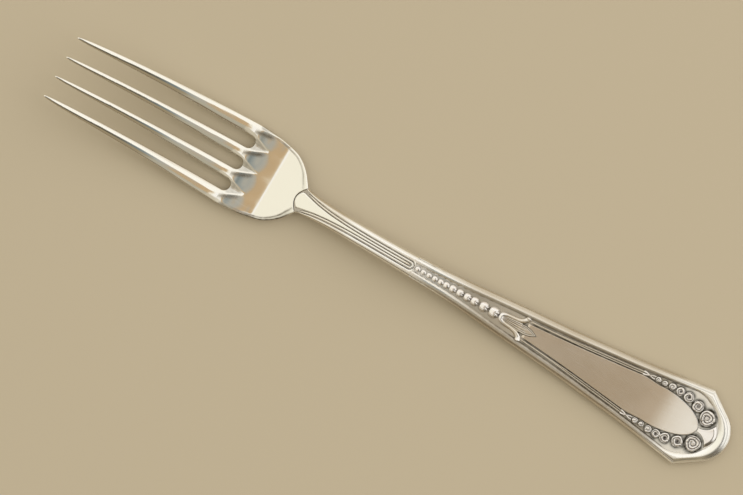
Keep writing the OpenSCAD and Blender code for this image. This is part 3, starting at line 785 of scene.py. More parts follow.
def scratch_group() -> bpy.types.NodeTree:
    """Gives the group that lays fine scratches and satin grain on the metal, built once.

    Returns:
        The group.
    """
    made = bpy.data.node_groups.get("fine_scratches")
    if made:
        return made
    tree, takes, gives = new_group("fine_scratches", (("Place", VECTOR), ("Scratch", FLOAT), ("Grain", FLOAT)),
                                   (("Height", FLOAT),))
    place = takes.outputs["Place"]
    grain = noise_node(tree, place, 2600, (1, 1, 1), detail=2)
    total = math_node(tree, "MULTIPLY", grain, takes.outputs["Grain"])
    for turn, scale in ((4, 900), (-13, 1300), (31, 700), (78, 800)):
        cut = range_node(tree, noise_node(tree, place, scale, (0.05, 1, 1), turn, 2), 0.62, 0.72)
        total = math_node(tree, "SUBTRACT", total, math_node(tree, "MULTIPLY", cut, takes.outputs["Scratch"]))
    tree.links.new(total, gives.inputs["Height"])
    return tree


# Each finish's last, dark colour is laid by the mask as dark patina in the hollows and painted shade.
POLISHED = Plating("polished_silver_plate", Slot.POLISHED, metal=(0.92, 0.905, 0.86), patina=(0.76, 0.70, 0.58),
                   patina_share=0.12, hollow_patina_and_shade=(0.10, 0.075, 0.045), roughness=0.10, haze=0.05, scratch=0.25)
SATIN = Plating("satin_silver_plate", Slot.SATIN, metal=(0.95, 0.94, 0.925), patina=(0.60, 0.50, 0.385),
                patina_share=0.9, hollow_patina_and_shade=(0.07, 0.055, 0.038), roughness=0.24, haze=0.06, scratch=0.4,
                patina_fade=74.0, patina_end=79.5)
BAND = Plating("worn_silver_band", Slot.SATIN, metal=(0.95, 0.94, 0.92), patina=(0.60, 0.53, 0.43),
               patina_share=0.85, hollow_patina_and_shade=(0.10, 0.075, 0.048), roughness=0.26, haze=0.06, scratch=0.35,
               patina_start=6.0, patina_full=26.0, patina_fade=68.0, patina_end=82.0)
GROUND = replace(BAND, name="sunk_silver_ground", hollow_patina_and_shade=(0.055, 0.049, 0.033), roughness=0.28, haze=0.07,
                 grain=0.03, patina_full=22.0, patina_fade=73.5, patina_end=81.0)
THREAD = replace(BAND, name="worn_silver_thread", slot=Slot.RELIEF)
SHANK = Plating("worn_silver_shank", Slot.SATIN, metal=(0.93, 0.915, 0.885), patina=(0.70, 0.62, 0.5),
                patina_share=0.6, hollow_patina_and_shade=(0.11, 0.08, 0.05), roughness=0.22, haze=0.06, scratch=0.35,
                patina_fade=-17.0, patina_end=-12.0)
REED = replace(SHANK, name="worn_silver_reed", slot=Slot.RELIEF)
RELIEF = Plating("struck_silver_relief", Slot.RELIEF, metal=(0.94, 0.915, 0.91), patina=(0.74, 0.69, 0.65),
                 patina_share=0.2, hollow_patina_and_shade=(0.045, 0.037, 0.034), roughness=0.2, haze=0.05, scratch=0.2)
CALYX = replace(RELIEF, name="struck_silver_calyx", patina=(0.66, 0.59, 0.48), patina_share=0.85,
                hollow_patina_and_shade=(0.05, 0.037, 0.022), patina_start=30.2, patina_full=31.8, patina_fade=35.2, patina_end=36.6)
PETAL = Plating("worn_silver_petal", Slot.RELIEF, metal=(0.93, 0.915, 0.885), patina=(0.66, 0.58, 0.48),
                patina_share=0.7, hollow_patina_and_shade=(0.05, 0.036, 0.018), roughness=0.22, haze=0.06, scratch=0.3)


@dataclass
class Member:
    """Shares what every member of the fork needs to be dressed."""

    profile: Profile
    materials: ClassVar[dict[str, bpy.types.Material]] = {}

    def dress(self, form: Form, node: str, plating: Plating, sharp: float = 38.0) -> None:
        """Makes the piece that stands for a node and gives it its finish.

        Args:
            form: The piece's form.
            node: The node, whose name the piece takes on.
            plating: The finish.
            sharp: The angle from which its edges are crisp, in degrees.
        """
        piece = form.build(f"silver_{node}", sharp)
        if plating.name not in self.materials:
            self.materials[plating.name] = plating.material()
        piece.data.materials.append(self.materials[plating.name])
        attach(piece, "root")
        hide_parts(node)
        LOG.info("%s: %d faces, %s", piece.name, len(piece.data.polygons), plating.name)

    def cast(self, node: str, plating: Plating, *surfaces: Array, foot_patina_and_shade: float = 0.0, sharp: float = 38.0
             ) -> None:
        """Makes a piece that is one slab.

        Args:
            node: The node that it stands for.
            plating: Its finish.
            surfaces: Places along and across the fork, the heights of its top and its foot, and its darkening: dark
                patina and painted shade.
            foot_patina_and_shade: The painted shade on its foot.
            sharp: The angle from which its edges are crisp, in degrees.
        """
        form = Form()
        form.slab(*surfaces, foot_patina_and_shade=foot_patina_and_shade)
        self.dress(form, node, plating, sharp)


@dataclass
class Head(Member):
    """The bowl and the four tines, which share one top and one back."""

    facet: float = 0.37
    plain_x: float = -49.0
    split_x: float = -48.3
    arc_x: float = -39.7
    arc_bulge: float = 1.0
    edge_r: float = 0.2
    rim_r: float = 0.42
    back_r: float = 1.0
    rim_w: float = 0.62
    rim_t: float = 0.03
    streak_in: float = 0.62
    streak_w: float = 0.55
    streak_darkness: float = 0.72
    gap_steps: int = 8

    CROWN = [[-47.5, 2.63], [-46.3, 2.58], [-44.6, 2.56], [-43.9, 2.51], [-42.8, 2.35], [-41.5, 2.165],
             [-40.6, 2.055], [-39.4, 1.955], [-38.9, 1.925], [-36.2, 1.82], [-35.8, 1.812],
             [-34.6, 1.90], [-32.6, 2.24],
             [-30.6, 2.79], [-28.8, 3.32], [-27.0, 3.8]]
    LAND = (0, 0.03, 0.1, 0.2, 0.32, 0.44, 0.56, 0.68, 0.79, 0.87, 0.93, 0.97, 1)
    SOFT, STEEP, SIDES = (-44.5, -50.0), (-50.0, -62.0), (-37.0, -33.0)
    STREAK_START, STREAK_END = (-46.6, -44.2), (-39.9, -41.6)
    ARC_START, ARC_END = (-42.6, -40.2), (-35.9, -38.9)

    def crown(self, x: Array) -> Array:
        """Gives the height of the head's top along its middle.

        Args:
            x: Places along the fork.

        Returns:
            The heights.
        """
        tine_top = self.profile.tine_top
        start = [[at, float(tine_top(at))] for at in (self.plain_x - 0.6, self.plain_x)]
        return np.where(x < self.plain_x, tine_top(x), Curve(start + self.CROWN)(x))

    def tine_y(self, x: Array, outer: bool) -> Array:
        """Gives the middle line of a tine.

        Args:
            x: Places along the fork.
            outer: Whether it is an outer tine.

        Returns:
            How far the line is from the fork's middle.
        """
        p = self.profile
        tip, root = (p.s.tip_w / 2, p.outer_y) if outer else (p.s.tip_w / 6, p.inner_y)
        return tip + (root - tip) * p.tine_share(x) ** 0.75

    def tine_half(self, x: Array, outer: bool) -> Array:
        """Gives the half width of a tine, with its point rounded.

        Args:
            x: Places along the fork.
            outer: Whether it is an outer tine.

        Returns:
            The half widths.
        """
        p = self.profile
        point = p.s.point_w / 2
        wide = point + (self.root_half(outer) - point) * p.tine_w(p.tine_share(x))
        near = np.clip(1 - (x - p.x_tip) / 0.4, 0, 0.97)
        return wide * np.sqrt(1 - near**2)

    def root_half(self, outer: bool) -> float:
        """Gives the half width of a tine at its root."""
        p = self.profile
        return (p.s.head_w / 2 - p.gap_y - p.s.gap_w / 2) / 2 if outer else (p.gap_y - p.s.gap_w) / 2

    def ridges(self, x: Array, outer: bool) -> tuple[Array, Array]:
        """Gives the two ridges that run back from a tine and part until they meet their neighbours.

        Args:
            x: Places along the fork.
            outer: Whether it is an outer tine.

        Returns:
            How far the ridge on the inner side and the one on the outer side are from the fork's middle.
        """
        p = self.profile
        low, high = (p.gap_y, p.half(np.maximum(x, p.x_crotch)) - 0.3) if outer else (0.0, p.gap_y)
        open_share = np.clip((x - self.split_x) / (self.arc_x - self.split_x), 0, 1) ** 1.35
        mid = self.tine_y(x, outer)
        return mid + (low - mid) * open_share, mid + (high - mid) * open_share

    def facet_drop(self, x: Array, y: Array) -> Array:
        """Gives how far the facets beside the ridges and flats fall.

        Args:
            x: Places along the fork.
            y: Places across it.

        Returns:
            The falls.
        """
        side = np.abs(y)
        soft = smooth(*self.SOFT, x)
        steep = self.facet * (0.8 + 0.2 * smooth(*self.STEEP, x))
        drop = np.inf
        for outer in (False, True):
            first, last = self.ridges(x, outer)
            away = np.maximum(np.maximum(first - side, side - last), 0)
            half = self.tine_half(np.minimum(x, self.profile.x_root), outer)
            drop = np.minimum(drop, steep * away**2 / (away * (1 - soft) + half * soft + 0.03))
        return drop * smooth(self.arc_x + 0.3, self.arc_x - 0.3, x)

    def painted_reflection_streaks(self, x: Array, y: Array) -> Array:
        """Gives painted dark reflections, in streak lines on the flats, along the ridges that run from the crotches.

        Args:
            x: Places along the fork.
            y: Places across it.

        Returns:
            The share of painted darkening at each place.
        """
        side = np.abs(y)
        dark = 0.0
        for outer in (False, True):
            first, last = self.ridges(x, outer)
            below = np.where(y > 0, last - side, side - first)
            dark = np.maximum(dark, bump(below, self.streak_in, self.streak_w))
        # Painted reflection: dark lines on the polished flats, fading in and out along the head.
        return self.streak_darkness * dark * smooth(*self.STREAK_START, x) * smooth(*self.STREAK_END, x)

    def arc_shift(self, x: Array, y: Array) -> Array:
        """Gives how far the arcs that end the flats bulge toward the bowl beside a place.

        Args:
            x: Places along the fork.
            y: Places across it.

        Returns:
            The bulges.
        """
        p = self.profile
        side = np.abs(y)
        wide = 0.5 * (p.s.head_w / 2 - p.gap_y)
        u = np.where(side < p.gap_y, (side - p.inner_y) / p.inner_y, (side - p.gap_y - wide) / wide)
        bulge = self.arc_bulge * (0.5 - np.clip(np.abs(u), 0, 1) ** 2)
        return bulge * smooth(*self.ARC_START, x) * smooth(*self.ARC_END, x)

    def heights(self, x: Array, y: Array, edge: Array, rim: Array | None = None) -> tuple[Array, Array]:
        """Gives the head's top and back.

        Args:
            x: Places along the fork.
            y: Places across it.
            edge: How far each place is from the nearest edge.
            rim: How far each place is from the bowl's outer edge, if it is in the bowl.

        Returns:
            The heights of the top and of the back.
        """
        p = self.profile
        under = p.under(x)
        sides = p.side_rise(x, y) * (0.7 + 0.3 * smooth(*self.SIDES, x))
        if rim is None:
            base, depth, rim_drop = under + sides, self.crown(x) - under, 0.0
        else:
            u = np.clip((x - p.x_root) / (p.x_corner - p.x_root), 0, 1)
            base = under + sides * (1 - u**4)
            raised = smooth(self.rim_w + 0.16, self.rim_w, rim) * smooth(p.x_corner, p.x_corner - 3, x)
            depth = (self.crown(x - self.arc_shift(x, y)) - under
                     + self.rim_t * smooth(self.arc_x, self.arc_x + 2, x) * raised)
            rim_drop = 0.6 * self.rim_r * rounding(rim, self.rim_r, share=0.98) * smooth(
                p.x_crotch - 1, p.x_crotch + 4, x)
        top = base + depth - self.facet_drop(x, y) - self.edge_r * rounding(edge, self.edge_r) - rim_drop
        back = base + 0.42 * depth * rounding(edge, self.back_r)
        return top, np.minimum(back, top - 0.08)

    def tine(self, outer: bool, side: int, node: str) -> None:
        """Makes one tine.

        Args:
            outer: Whether it is an outer tine.
            side: 1 on the left of the fork, -1 on the right.
            node: Its node.
        """
        p = self.profile
        x = np.concatenate([p.x_tip + np.array([0, 0.02, 0.06, 0.12, 0.2, 0.3, 0.45]),
                            np.linspace(p.x_tip + 0.7, self.split_x - 0.5, 84),
                            np.linspace(self.split_x, p.x_root, 20)])[:, None]
        share = both_sides(self.LAND)
        half = self.tine_half(x, outer)
        y = self.tine_y(x, outer) + half * share
        top, back = self.heights(x, y, half * (1 - np.abs(share)))
        pinch = 0.7 * np.clip(1 - (x - p.x_tip) / 0.5, 0, 1) ** 2
        middle = 0.5 * (top + back)
        top, back = (z + (middle - z) * pinch for z in (top, back))
        self.cast(node, POLISHED, x, y * side, top, back, sharp=30)

    def bowl(self) -> None:
        """Makes the bowl, from its three round crotches to the crescent groove."""
        p, s = self.profile, self.profile.s
        r = s.gap_w / 2
        gaps = (-p.gap_y, 0, p.gap_y)
        turns = np.sin(np.linspace(-math.pi / 2, math.pi / 2, 2 * self.gap_steps + 1))
        lands = both_sides(self.LAND)
        inner = p.inner_y + self.root_half(False) * lands[1:-1]
        outer = p.outer_y + self.root_half(True) * lands[1:]
        near = np.concatenate([r * turns[self.gap_steps + 1:], inner, p.gap_y + r * turns, outer])
        front = np.concatenate([-near[::-1], [0], near])
        v = front / (s.head_w / 2)
        notch = np.max([np.sqrt(np.maximum(0, r * r - (front - gap) ** 2)) for gap in gaps], axis=0)
        u = np.concatenate([[0, 0.03, 0.08, 0.15, 0.24], np.arange(0.36, 8.2, 0.16),
                            np.arange(8.4, 16.6, 0.3), [16.75, 16.88, 16.95, 17.0]])[:, None] / 17.0
        here = p.x_root + (p.x_corner - p.x_root) * u
        first = p.x_root + notch
        last = p.x_corner - s.seam - s.crescent * (1 - v**2)
        x = first + (last - first) * u
        y = v * np.where(u == 0, s.head_w / 2, p.half(here))
        rim = (1 - np.abs(v)) * p.half(here) / np.sqrt(1 + slope(p.half, here) ** 2)
        edge = np.min([rim] + [np.hypot(x - p.x_root, y - gap) - r for gap in gaps], axis=0)
        edge = np.minimum(np.maximum(edge, 0), last - x + 0.06)
        top, back = self.heights(x, y, edge, rim)
        # Painted shade: dark lines along the rim's step and outer edge, far heavier on the right side (y below 0),
        # away from the lamp; painted shade on the facets that fall from the ridges; painted dark reflections in
        # lines on the flats.
        right = smooth(0, -2, y)
        line = (0.5 + 0.35 * right) * bump(rim, self.rim_w, 0.16) + 0.95 * right * bump(rim, 0.08, 0.25)
        line = line * smooth(self.arc_x - 3, self.arc_x + 2, x) * smooth(p.x_corner - 0.3, p.x_corner - 2.5, x)
        fall = self.facet_drop(x, y) * smooth(p.x_crotch - 1.2, p.x_crotch + 0.2, x)
        hollow_patina_and_shade = np.max([line, 0.34 * smooth(0.05, 0.16, fall), self.painted_reflection_streaks(x, y) * (fall < 0.02)], axis=0)
        self.cast("bowl", POLISHED, x, y, top, back, hollow_patina_and_shade, sharp=30)

    def build(self) -> None:
        """Makes the head."""
        self.bowl()
        for outer, word in ((True, "outer"), (False, "inner")):
            self.tine(outer, 1, f"{word}_tine_left")
            self.tine(outer, -1, f"{word}_tine_right")


@dataclass
class Shank(Member):
    """The bar between the bowl and the beads, with its tongue and its reeds."""

    reed_w: float = 0.64
    reed_t: float = 0.42
    tongue_t: float = 0.44
    thread_half: float = 0.29

    LAND = (0.03, 0.06, 0.12, 0.25, 0.4, 0.52, 0.62, 0.71, 0.79, 0.86, 0.92, 0.96, 0.985, 1)
    FAN = (0, 0.2, 0.4, 0.6, 0.78, 0.9, 0.97, 1)
    DARKER = (-18.0, -10.0)

    def moved(self, x: Array, y: Array) -> Array:
        """Shifts places near the bowl to follow the crescent groove.

        Args:
            x: Places along the fork.
            y: Places across it.

        Returns:
            The shifted places along the fork.
        """
        p, s = self.profile, self.profile.s
        away = np.clip(np.abs(y) / s.corner_w, 0, 1)
        return x - s.crescent * (1 - away**2) * np.clip((p.x_bead - x) / s.shank_l, 0, 1) ** 6

    def bar(self) -> None:
        """Makes the bar with its trough."""
        p, s = self.profile, self.profile.s
        x = np.concatenate([p.x_corner + np.array([0, 0.05, 0.12]),
                            eased(p.x_corner + 0.2, p.x_bead, 110, 1.2)])[:, None]
        end = np.sqrt(np.clip(1 - (np.maximum(x - p.x_turn, 0) / s.trough_w) ** 2, 0.0004, 1))
        trough, half = p.trough(x) * end, p.half(x)
        near = np.concatenate([np.linspace(0, 1, 9) * trough, trough + (half - trough) * np.array(self.LAND)], 1)
        y = np.concatenate([-near[:, :0:-1], near], 1)
        side = np.abs(y)
        wall = smooth(0.0, 0.07, side - trough)
        round_w = np.minimum(1.3, 0.85 * np.minimum(half - p.trough(x), 1.6))
        front = np.clip(1 - (x - p.x_corner) / 0.2, 0, 1)
        drop = (s.border_t * (1 - wall) + 0.4 * s.shank_t * rounding(half - side, round_w, 2.2)
                + 0.08 * smooth(0.3, 0.0, side - trough - 0.05) * wall * end + 0.14 * front**2)
        at = self.moved(x, y)
        top = p.top(at) - drop
        low = p.under(at) + 0.42 * s.shank_t * rounding(half - side, half, 3)
        # Painted shade with dark patina: the trough floor darkens, a little more toward the beads, and so does the
        # front edge by the crescent groove.
        hollow_patina_and_shade = np.maximum((0.48 + 0.14 * smooth(*self.DARKER, x)) * (1 - wall), 0.7 * front**2)
        self.cast("shank", SHANK, at, y, top, np.minimum(low, top - 0.3), hollow_patina_and_shade, sharp=40)

    def tongue(self) -> None:
        """Makes the tongue, a plain fan that narrows to the middle thread."""
        p, s = self.profile, self.profile.s
        x0 = p.x_corner + 2 * s.seam
        xs = eased(x0, p.x_bead - 0.8 * s.reed_pitch, 90, 1.5)[:, None]
        spread = smooth(p.x_corner + 9, p.x_corner + 1, xs)
        fan = np.maximum(self.thread_half, p.trough(xs) - s.trough_w + self.thread_half + 0.1 * spread)
        v = both_sides(self.FAN)
        end = np.clip((xs[-1, 0] - xs) / 0.45, 0, 1)
        y = v * fan * np.sqrt(1 - (1 - end) ** 2 * 0.9)
        x = xs - s.crescent * (1 - (0.8 * v) ** 2) * np.clip(1 - (xs - x0) / s.bowl_l * 2, 0, 1) ** 2
        edge = fan * (1 - np.abs(v))
        lip = np.clip(1 - (xs - x0) / 0.25, 0, 1)
        top = p.bed(x) + self.tongue_t - 0.3 * rounding(edge, 0.24) - 0.12 * lip**2
        # Painted shade with dark patina at the tongue's edges; its foot, which the walls blend into, is painted
        # fully dark as shade.
        self.cast("tongue", POLISHED, x, y, top, p.bed(x), 0.7 * np.clip(1 - edge / 0.09, 0, 1), foot_patina_and_shade=1.0)

    def reeds(self) -> None:
        """Makes the hairpin thread."""
        p, s = self.profile, self.profile.s
        x0, half = p.x_corner + 0.75, s.reed_pitch / 2
        xs = eased(x0, p.x_turn, 70, 1.3)
        leg = np.stack([xs, p.trough(xs) - s.trough_w + half], 1)
        a = np.linspace(math.pi / 2, -math.pi / 2, 16)[1:-1]
        turn = np.stack([p.x_turn + half * np.cos(a), half * np.sin(a)], 1)
        route = np.concatenate([leg, turn, leg[::-1] * [1, -1]])
        near = np.clip((route[:, 0] - x0) / 1.6, 0, 1)
        width = self.reed_w * (0.25 + 0.75 * np.sqrt(near)) - 0.1 * smooth(x0 + 8, x0 + 1, route[:, 0])
        form = Form()
        # The sweep paints shade and dark patina low on the thread's flanks.
        form.tube(*sweep(route, width, self.reed_t, p.bed, 0.7))
        self.dress(form, "shank_reeds", REED)

    def build(self) -> None:
        """Makes the shank."""
        self.bar()
        self.tongue()
        self.reeds()


@dataclass
class Handle(Member):
    """The handle's plate with its bevel, its sunk ground and its raised border."""

    stations: int = 230
    round_steps: int = 22
    band_from: float = 0.42

    DEPTHS = (0, 0.03, 0.08, 0.15, 0.23, 0.32, 0.4, 0.5, 0.62, 0.8, 1.3)
    DARKER, TIGHTER = (8.0, 24.0), (8.0, 20.0)

    def outline(self) -> tuple[Array, Array]:
        """Gives the upper outline of the handle, from the beads to its end.

        Returns:
            Its points, and at each the way in, as long as a bevel of 1 is wide there.
        """
        p, s = self.profile, self.profile.s
        xs = np.linspace(p.x_bead + 0.01, p.x_shoulder - 1.1, self.stations)
        side = np.stack([xs, p.half(xs)], 1)
        lean = np.gradient(side[:, 1], side[:, 0])
        out_side = np.stack([-lean, np.ones_like(lean)], 1) / np.hypot(lean, 1)[:, None]
        run = np.array([math.cos(p.tangent_a), math.sin(p.tangent_a)])
        corner = np.array([p.x_shoulder, s.handle_w / 2])
        both = out_side[-1] + run
        out_corner = both / (1 + out_side[-1] @ run)
        tangent = np.array([p.x_round, 0]) + s.end_r * run
        edge = np.array([corner + (tangent - corner) * t for t in np.linspace(0.08, 1, 10)])
        a = np.linspace(p.tangent_a, math.radians(0.05), self.round_steps)[1:]
        ray = np.stack([np.cos(a), np.sin(a)], 1)
        arc = np.array([p.x_round, 0]) + s.end_r * ray
        points = np.concatenate([side, corner[None], edge, arc])
        outward = np.concatenate([out_side, out_corner[None], np.repeat(run[None], len(edge), 0), ray])
        return points, -outward

    def width_at(self, x: Array) -> Array:
        """Gives the border's width, which grows toward the handle's end."""
        p, s = self.profile, self.profile.s
        return s.border_w + (s.border_end_w - s.border_w) * smooth(p.x_side, p.x_end - 3, x)

    def ground_patina_and_shade(self, x: Array, y: Array) -> Array:
        """Gives the darkening of the sunk ground by what stands beside each place: dark patina and painted shade.

        Args:
            x: Places along the fork.
            y: Places across it.

        Returns:
            The share of darkening at each place.
        """
        p = self.profile
        side = np.abs(y)
        # Painted shade with dark patina beside the field's edge, the beads, the heart, the tablet and the roses.
        hollow_patina_and_shade = (0.12 + 0.4 * smooth(p.x_tablet - 4, p.x_tablet, x)) * bump(p.field(x) - side, 0, 0.26)
        hollow_patina_and_shade = hollow_patina_and_shade * smooth(p.x_side + 1, p.x_side - 5, x)
        dark, spread = 0.56 + 0.1 * smooth(*self.DARKER, x), 0.24 - 0.06 * smooth(*self.TIGHTER, x)
        for bead_x, bead_r in zip(p.bead_x, p.bead_r):
            hollow_patina_and_shade = np.maximum(hollow_patina_and_shade, dark * halo(np.hypot(x - bead_x, y) - bead_r, spread))
        cup = 0.4 * halo(side - 1.6, 0.22) * smooth(p.x_cup + 0.4, p.x_cup + 1.5, x)
        hollow_patina_and_shade = np.maximum(hollow_patina_and_shade, cup * smooth(p.x_tablet + 2, p.x_tablet, x))
        beside = side - p.tablet_half(x)
        lane = smooth(p.x_tablet, p.x_tablet + 1.5, x) * (beside > -0.2)
        wide = lane * (0.5 + 0.3 * bump(beside, 0, 0.3)) * smooth(p.x_side, p.x_tie + 3, x)
        line = lane * 0.9 * halo(beside / np.sqrt(1 + slope(p.tablet_half, x) ** 2), 0.3)
        hollow_patina_and_shade = np.maximum(hollow_patina_and_shade, np.maximum(wide, line))
        for i, (rose_x, rose_y, rose_d) in enumerate(p.roses):
            away = np.hypot(x - rose_x, side - rose_y) - rose_d / 2
            hollow_patina_and_shade = np.maximum(hollow_patina_and_shade, 0.97 * halo(away, 0.24 + 0.06 * i))
        return hollow_patina_and_shade

    def plate(self) -> None:
        """Makes the plate."""
        p, s = self.profile, self.profile.s
        depth = np.array(self.DEPTHS)
        rows = []
        for point, way in zip(*self.outline()):
            rim = point + depth[:, None] * way
            rim[:, 1] = np.maximum(rim[:, 1], 0.001)
            across = rim[-1, 1] * np.linspace(1, 0, 28)[1:]
            rows.append(np.concatenate([rim, np.stack([np.full_like(across, rim[-1, 0]), across], 1)]))
        upper = np.array(rows)
        flat = np.concatenate([upper[:, :-1] * [1, -1], upper[:, ::-1]], 1)
        x, y = flat[:, :, 0], flat[:, :, 1]
        far = np.concatenate([depth, np.full(upper.shape[1] - len(depth), 9.0)])
        deep = np.concatenate([far[:-1], far[::-1]]) * np.ones_like(x)
        inner = p.border_in + self.width_at(x)
        sunk = 0.05 * smooth(self.band_from, self.band_from + 0.1, deep) * (deep < inner - 0.1)
        top = p.ground(x) + np.minimum(p.band(x, deep, inner), 0) - sunk - 0.1 * rounding(deep, 0.12)
        thin = 1 + 0.5 * smooth(p.x_bead + 16, p.x_bead, x)
        low = p.under(x) + 0.3 * s.heel_t * rounding(deep, 1.6) * thin
        hollow_patina_and_shade = np.where(deep > self.band_from, self.ground_patina_and_shade(x, y), 0.0)
        self.cast("handle_plate", GROUND, x, y, top, np.minimum(low, top - 0.12), hollow_patina_and_shade, sharp=40)

    def inner_end(self, turn: float) -> Array:
        """Gives the border's inner edge round the handle's end.

        Args:
            turn: The turn from the fork's middle, in degrees.

        Returns:
            The place, x and y.
        """
        p, power, a = self.profile, 2 / self.profile.FIELD_POWER, math.radians(turn)
        return np.array([p.x_side + (p.x_field - p.x_side) * max(0, math.cos(a)) ** power,
                         p.side_w * max(0, math.sin(a)) ** power])

    def outer_end(self, a: float) -> Array:
        """Gives the border's outer edge at an angle round the handle's end."""
        p = self.profile
        return np.array([p.x_round, 0]) + (p.s.end_r - self.band_from) * np.array([math.cos(a), math.sin(a)])

    def border(self) -> None:
        """Makes the raised border, a broad round band whose outer side runs down into the bevel."""
        p, s = self.profile, self.profile.s
        xs = np.concatenate([[p.x_bead + 0.02], np.linspace(p.x_bead + 0.3, p.x_side, 170)])
        outer = list(np.stack([xs, p.half(xs) - self.band_from * np.sqrt(1 + slope(p.half, xs) ** 2)], 1))
        inner = list(np.stack([xs, p.field(xs)], 1))
        lean = math.atan2(float(p.half(p.x_shoulder) - p.half(p.x_side)), p.x_shoulder - p.x_side)
        lead = np.array([-math.sin(lean), math.cos(lean)])
        run = np.array([math.cos(p.tangent_a), math.sin(p.tangent_a)])
        corner = np.array([p.x_shoulder, s.handle_w / 2]) - self.band_from * (lead + run) / (1 + lead @ run)
        first, tangent = outer[-1], self.outer_end(p.tangent_a)
        for start, end, turn, step in ((first, corner, 90, 26), (corner, tangent, 64, 19)):
            for t in np.linspace(0.12, 1, 8):
                outer.append(start + (end - start) * t)
                inner.append(self.inner_end(turn - step * t))
        for t in np.linspace(0.05, 1, 18):
            outer.append(self.outer_end(p.tangent_a * (1 - t)))
            inner.append(self.inner_end(45 * (1 - t)))
        near = np.stack([np.array(outer), np.array(inner)], 1)
        line = np.concatenate([near, near[-2::-1] * [1, -1]])
        v = (1 - np.cos(np.linspace(0, math.pi, 23))) / 2
        spots = line[:, :1] * (1 - v)[:, None] + line[:, 1:] * v[:, None]
        x, y = spots[:, :, 0], spots[:, :, 1]
        width = np.linalg.norm(line[:, 0] - line[:, 1], axis=1)[:, None]
        deep = self.band_from + v * width
        z = p.ground(x) + p.band(x, deep, self.band_from + width)
        z[:, -1] -= 0.03
        z[:, 0] -= 0.01
        # Painted shade: the band's inner slope darkens, by 1.4 on the right side (y below 0), away from the lamp,
        # and 0.9 on the left; the groove line adds dark patina and painted shade.
        inside = 0.3 * smooth(0.4, 0.62, v) + 0.35 * smooth(0.7, 1.0, v)
        dark = inside * smooth(p.x_bead + 4, p.x_tablet + 4, x) * smooth(p.x_side + 1, p.x_side - 6, x)
        dark = dark * np.where(y < 0, 1.4, 0.9)
        line_dark = 0.45 * smooth(p.x_tie, p.x_side, x) * bump(deep, p.LINE_IN, 0.12)
        form = Form()
        form.tube(np.concatenate([spots, z[:, :, None]], 2), np.maximum(dark, line_dark))
        self.dress(form, "raised_border", BAND, sharp=60)

    def build(self) -> None:
        """Makes the handle."""
        self.plate()
        self.border()


@dataclass
class BeadRow(Member):
    """The graduated beads; the larger ones are buds with a cleft toward the calyx."""

    rays: int = 40
    rings: int = 12
    wide: float = 1.18
    high: float = 0.7
    sunk: float = 0.03

    def build(self) -> None:
        """Makes the beads."""
        p = self.profile
        form = Form()
        a = np.linspace(0, 2 * math.pi, self.rays, endpoint=False)
        turn = (a + math.pi) % (2 * math.pi) - math.pi
        cleft, lobes = bump(turn, 0, 0.26), bump(np.abs(turn), 0.7, 0.13)
        e = np.linspace(0.0, 1.0, self.rings, endpoint=False)[:, None]
        rho = np.cos(e * math.pi / 2) ** 0.8
        round_up = (1 - rho**3.0) ** 0.5
        for i, (bead_x, bead_r) in enumerate(zip(p.bead_x, p.bead_r)):
            bud = smooth(5.0, 7.5, np.array(float(i)))
            reach = self.wide - 0.08 * bud + bud * (-0.2 * cleft - 0.1 * lobes) * rho**2
            reach = reach + 0.05 * bud * np.cos(turn) * rho
            cut = bud * (0.42 * cleft + 0.22 * lobes) * rho**1.1 * round_up**0.4
            height = self.high * bead_r * (round_up - cut) - self.sunk
            x = bead_x + bead_r * rho * reach * np.cos(a)
            y = bead_r * rho * reach * np.sin(a)
            z = p.bed(bead_x) + np.maximum(height, 0)
            # Painted shade with dark patina: each bead darkens in its foot ring, and the larger buds in their cleft
            # and between their lobes.
            hollow_patina_and_shade = np.maximum(np.clip(1 - 7 * e, 0, 1),
                              0.75 * bud * np.maximum(cleft, 0.55 * lobes) * smooth(0.3, 0.7, rho))
            crown = np.array([bead_x, 0, float(p.bed(bead_x)) + self.high * bead_r - self.sunk])
            form.dome(np.stack([x, y, z], 2), crown, hollow_patina_and_shade)
        self.dress(form, "bead_row", RELIEF, sharp=60)


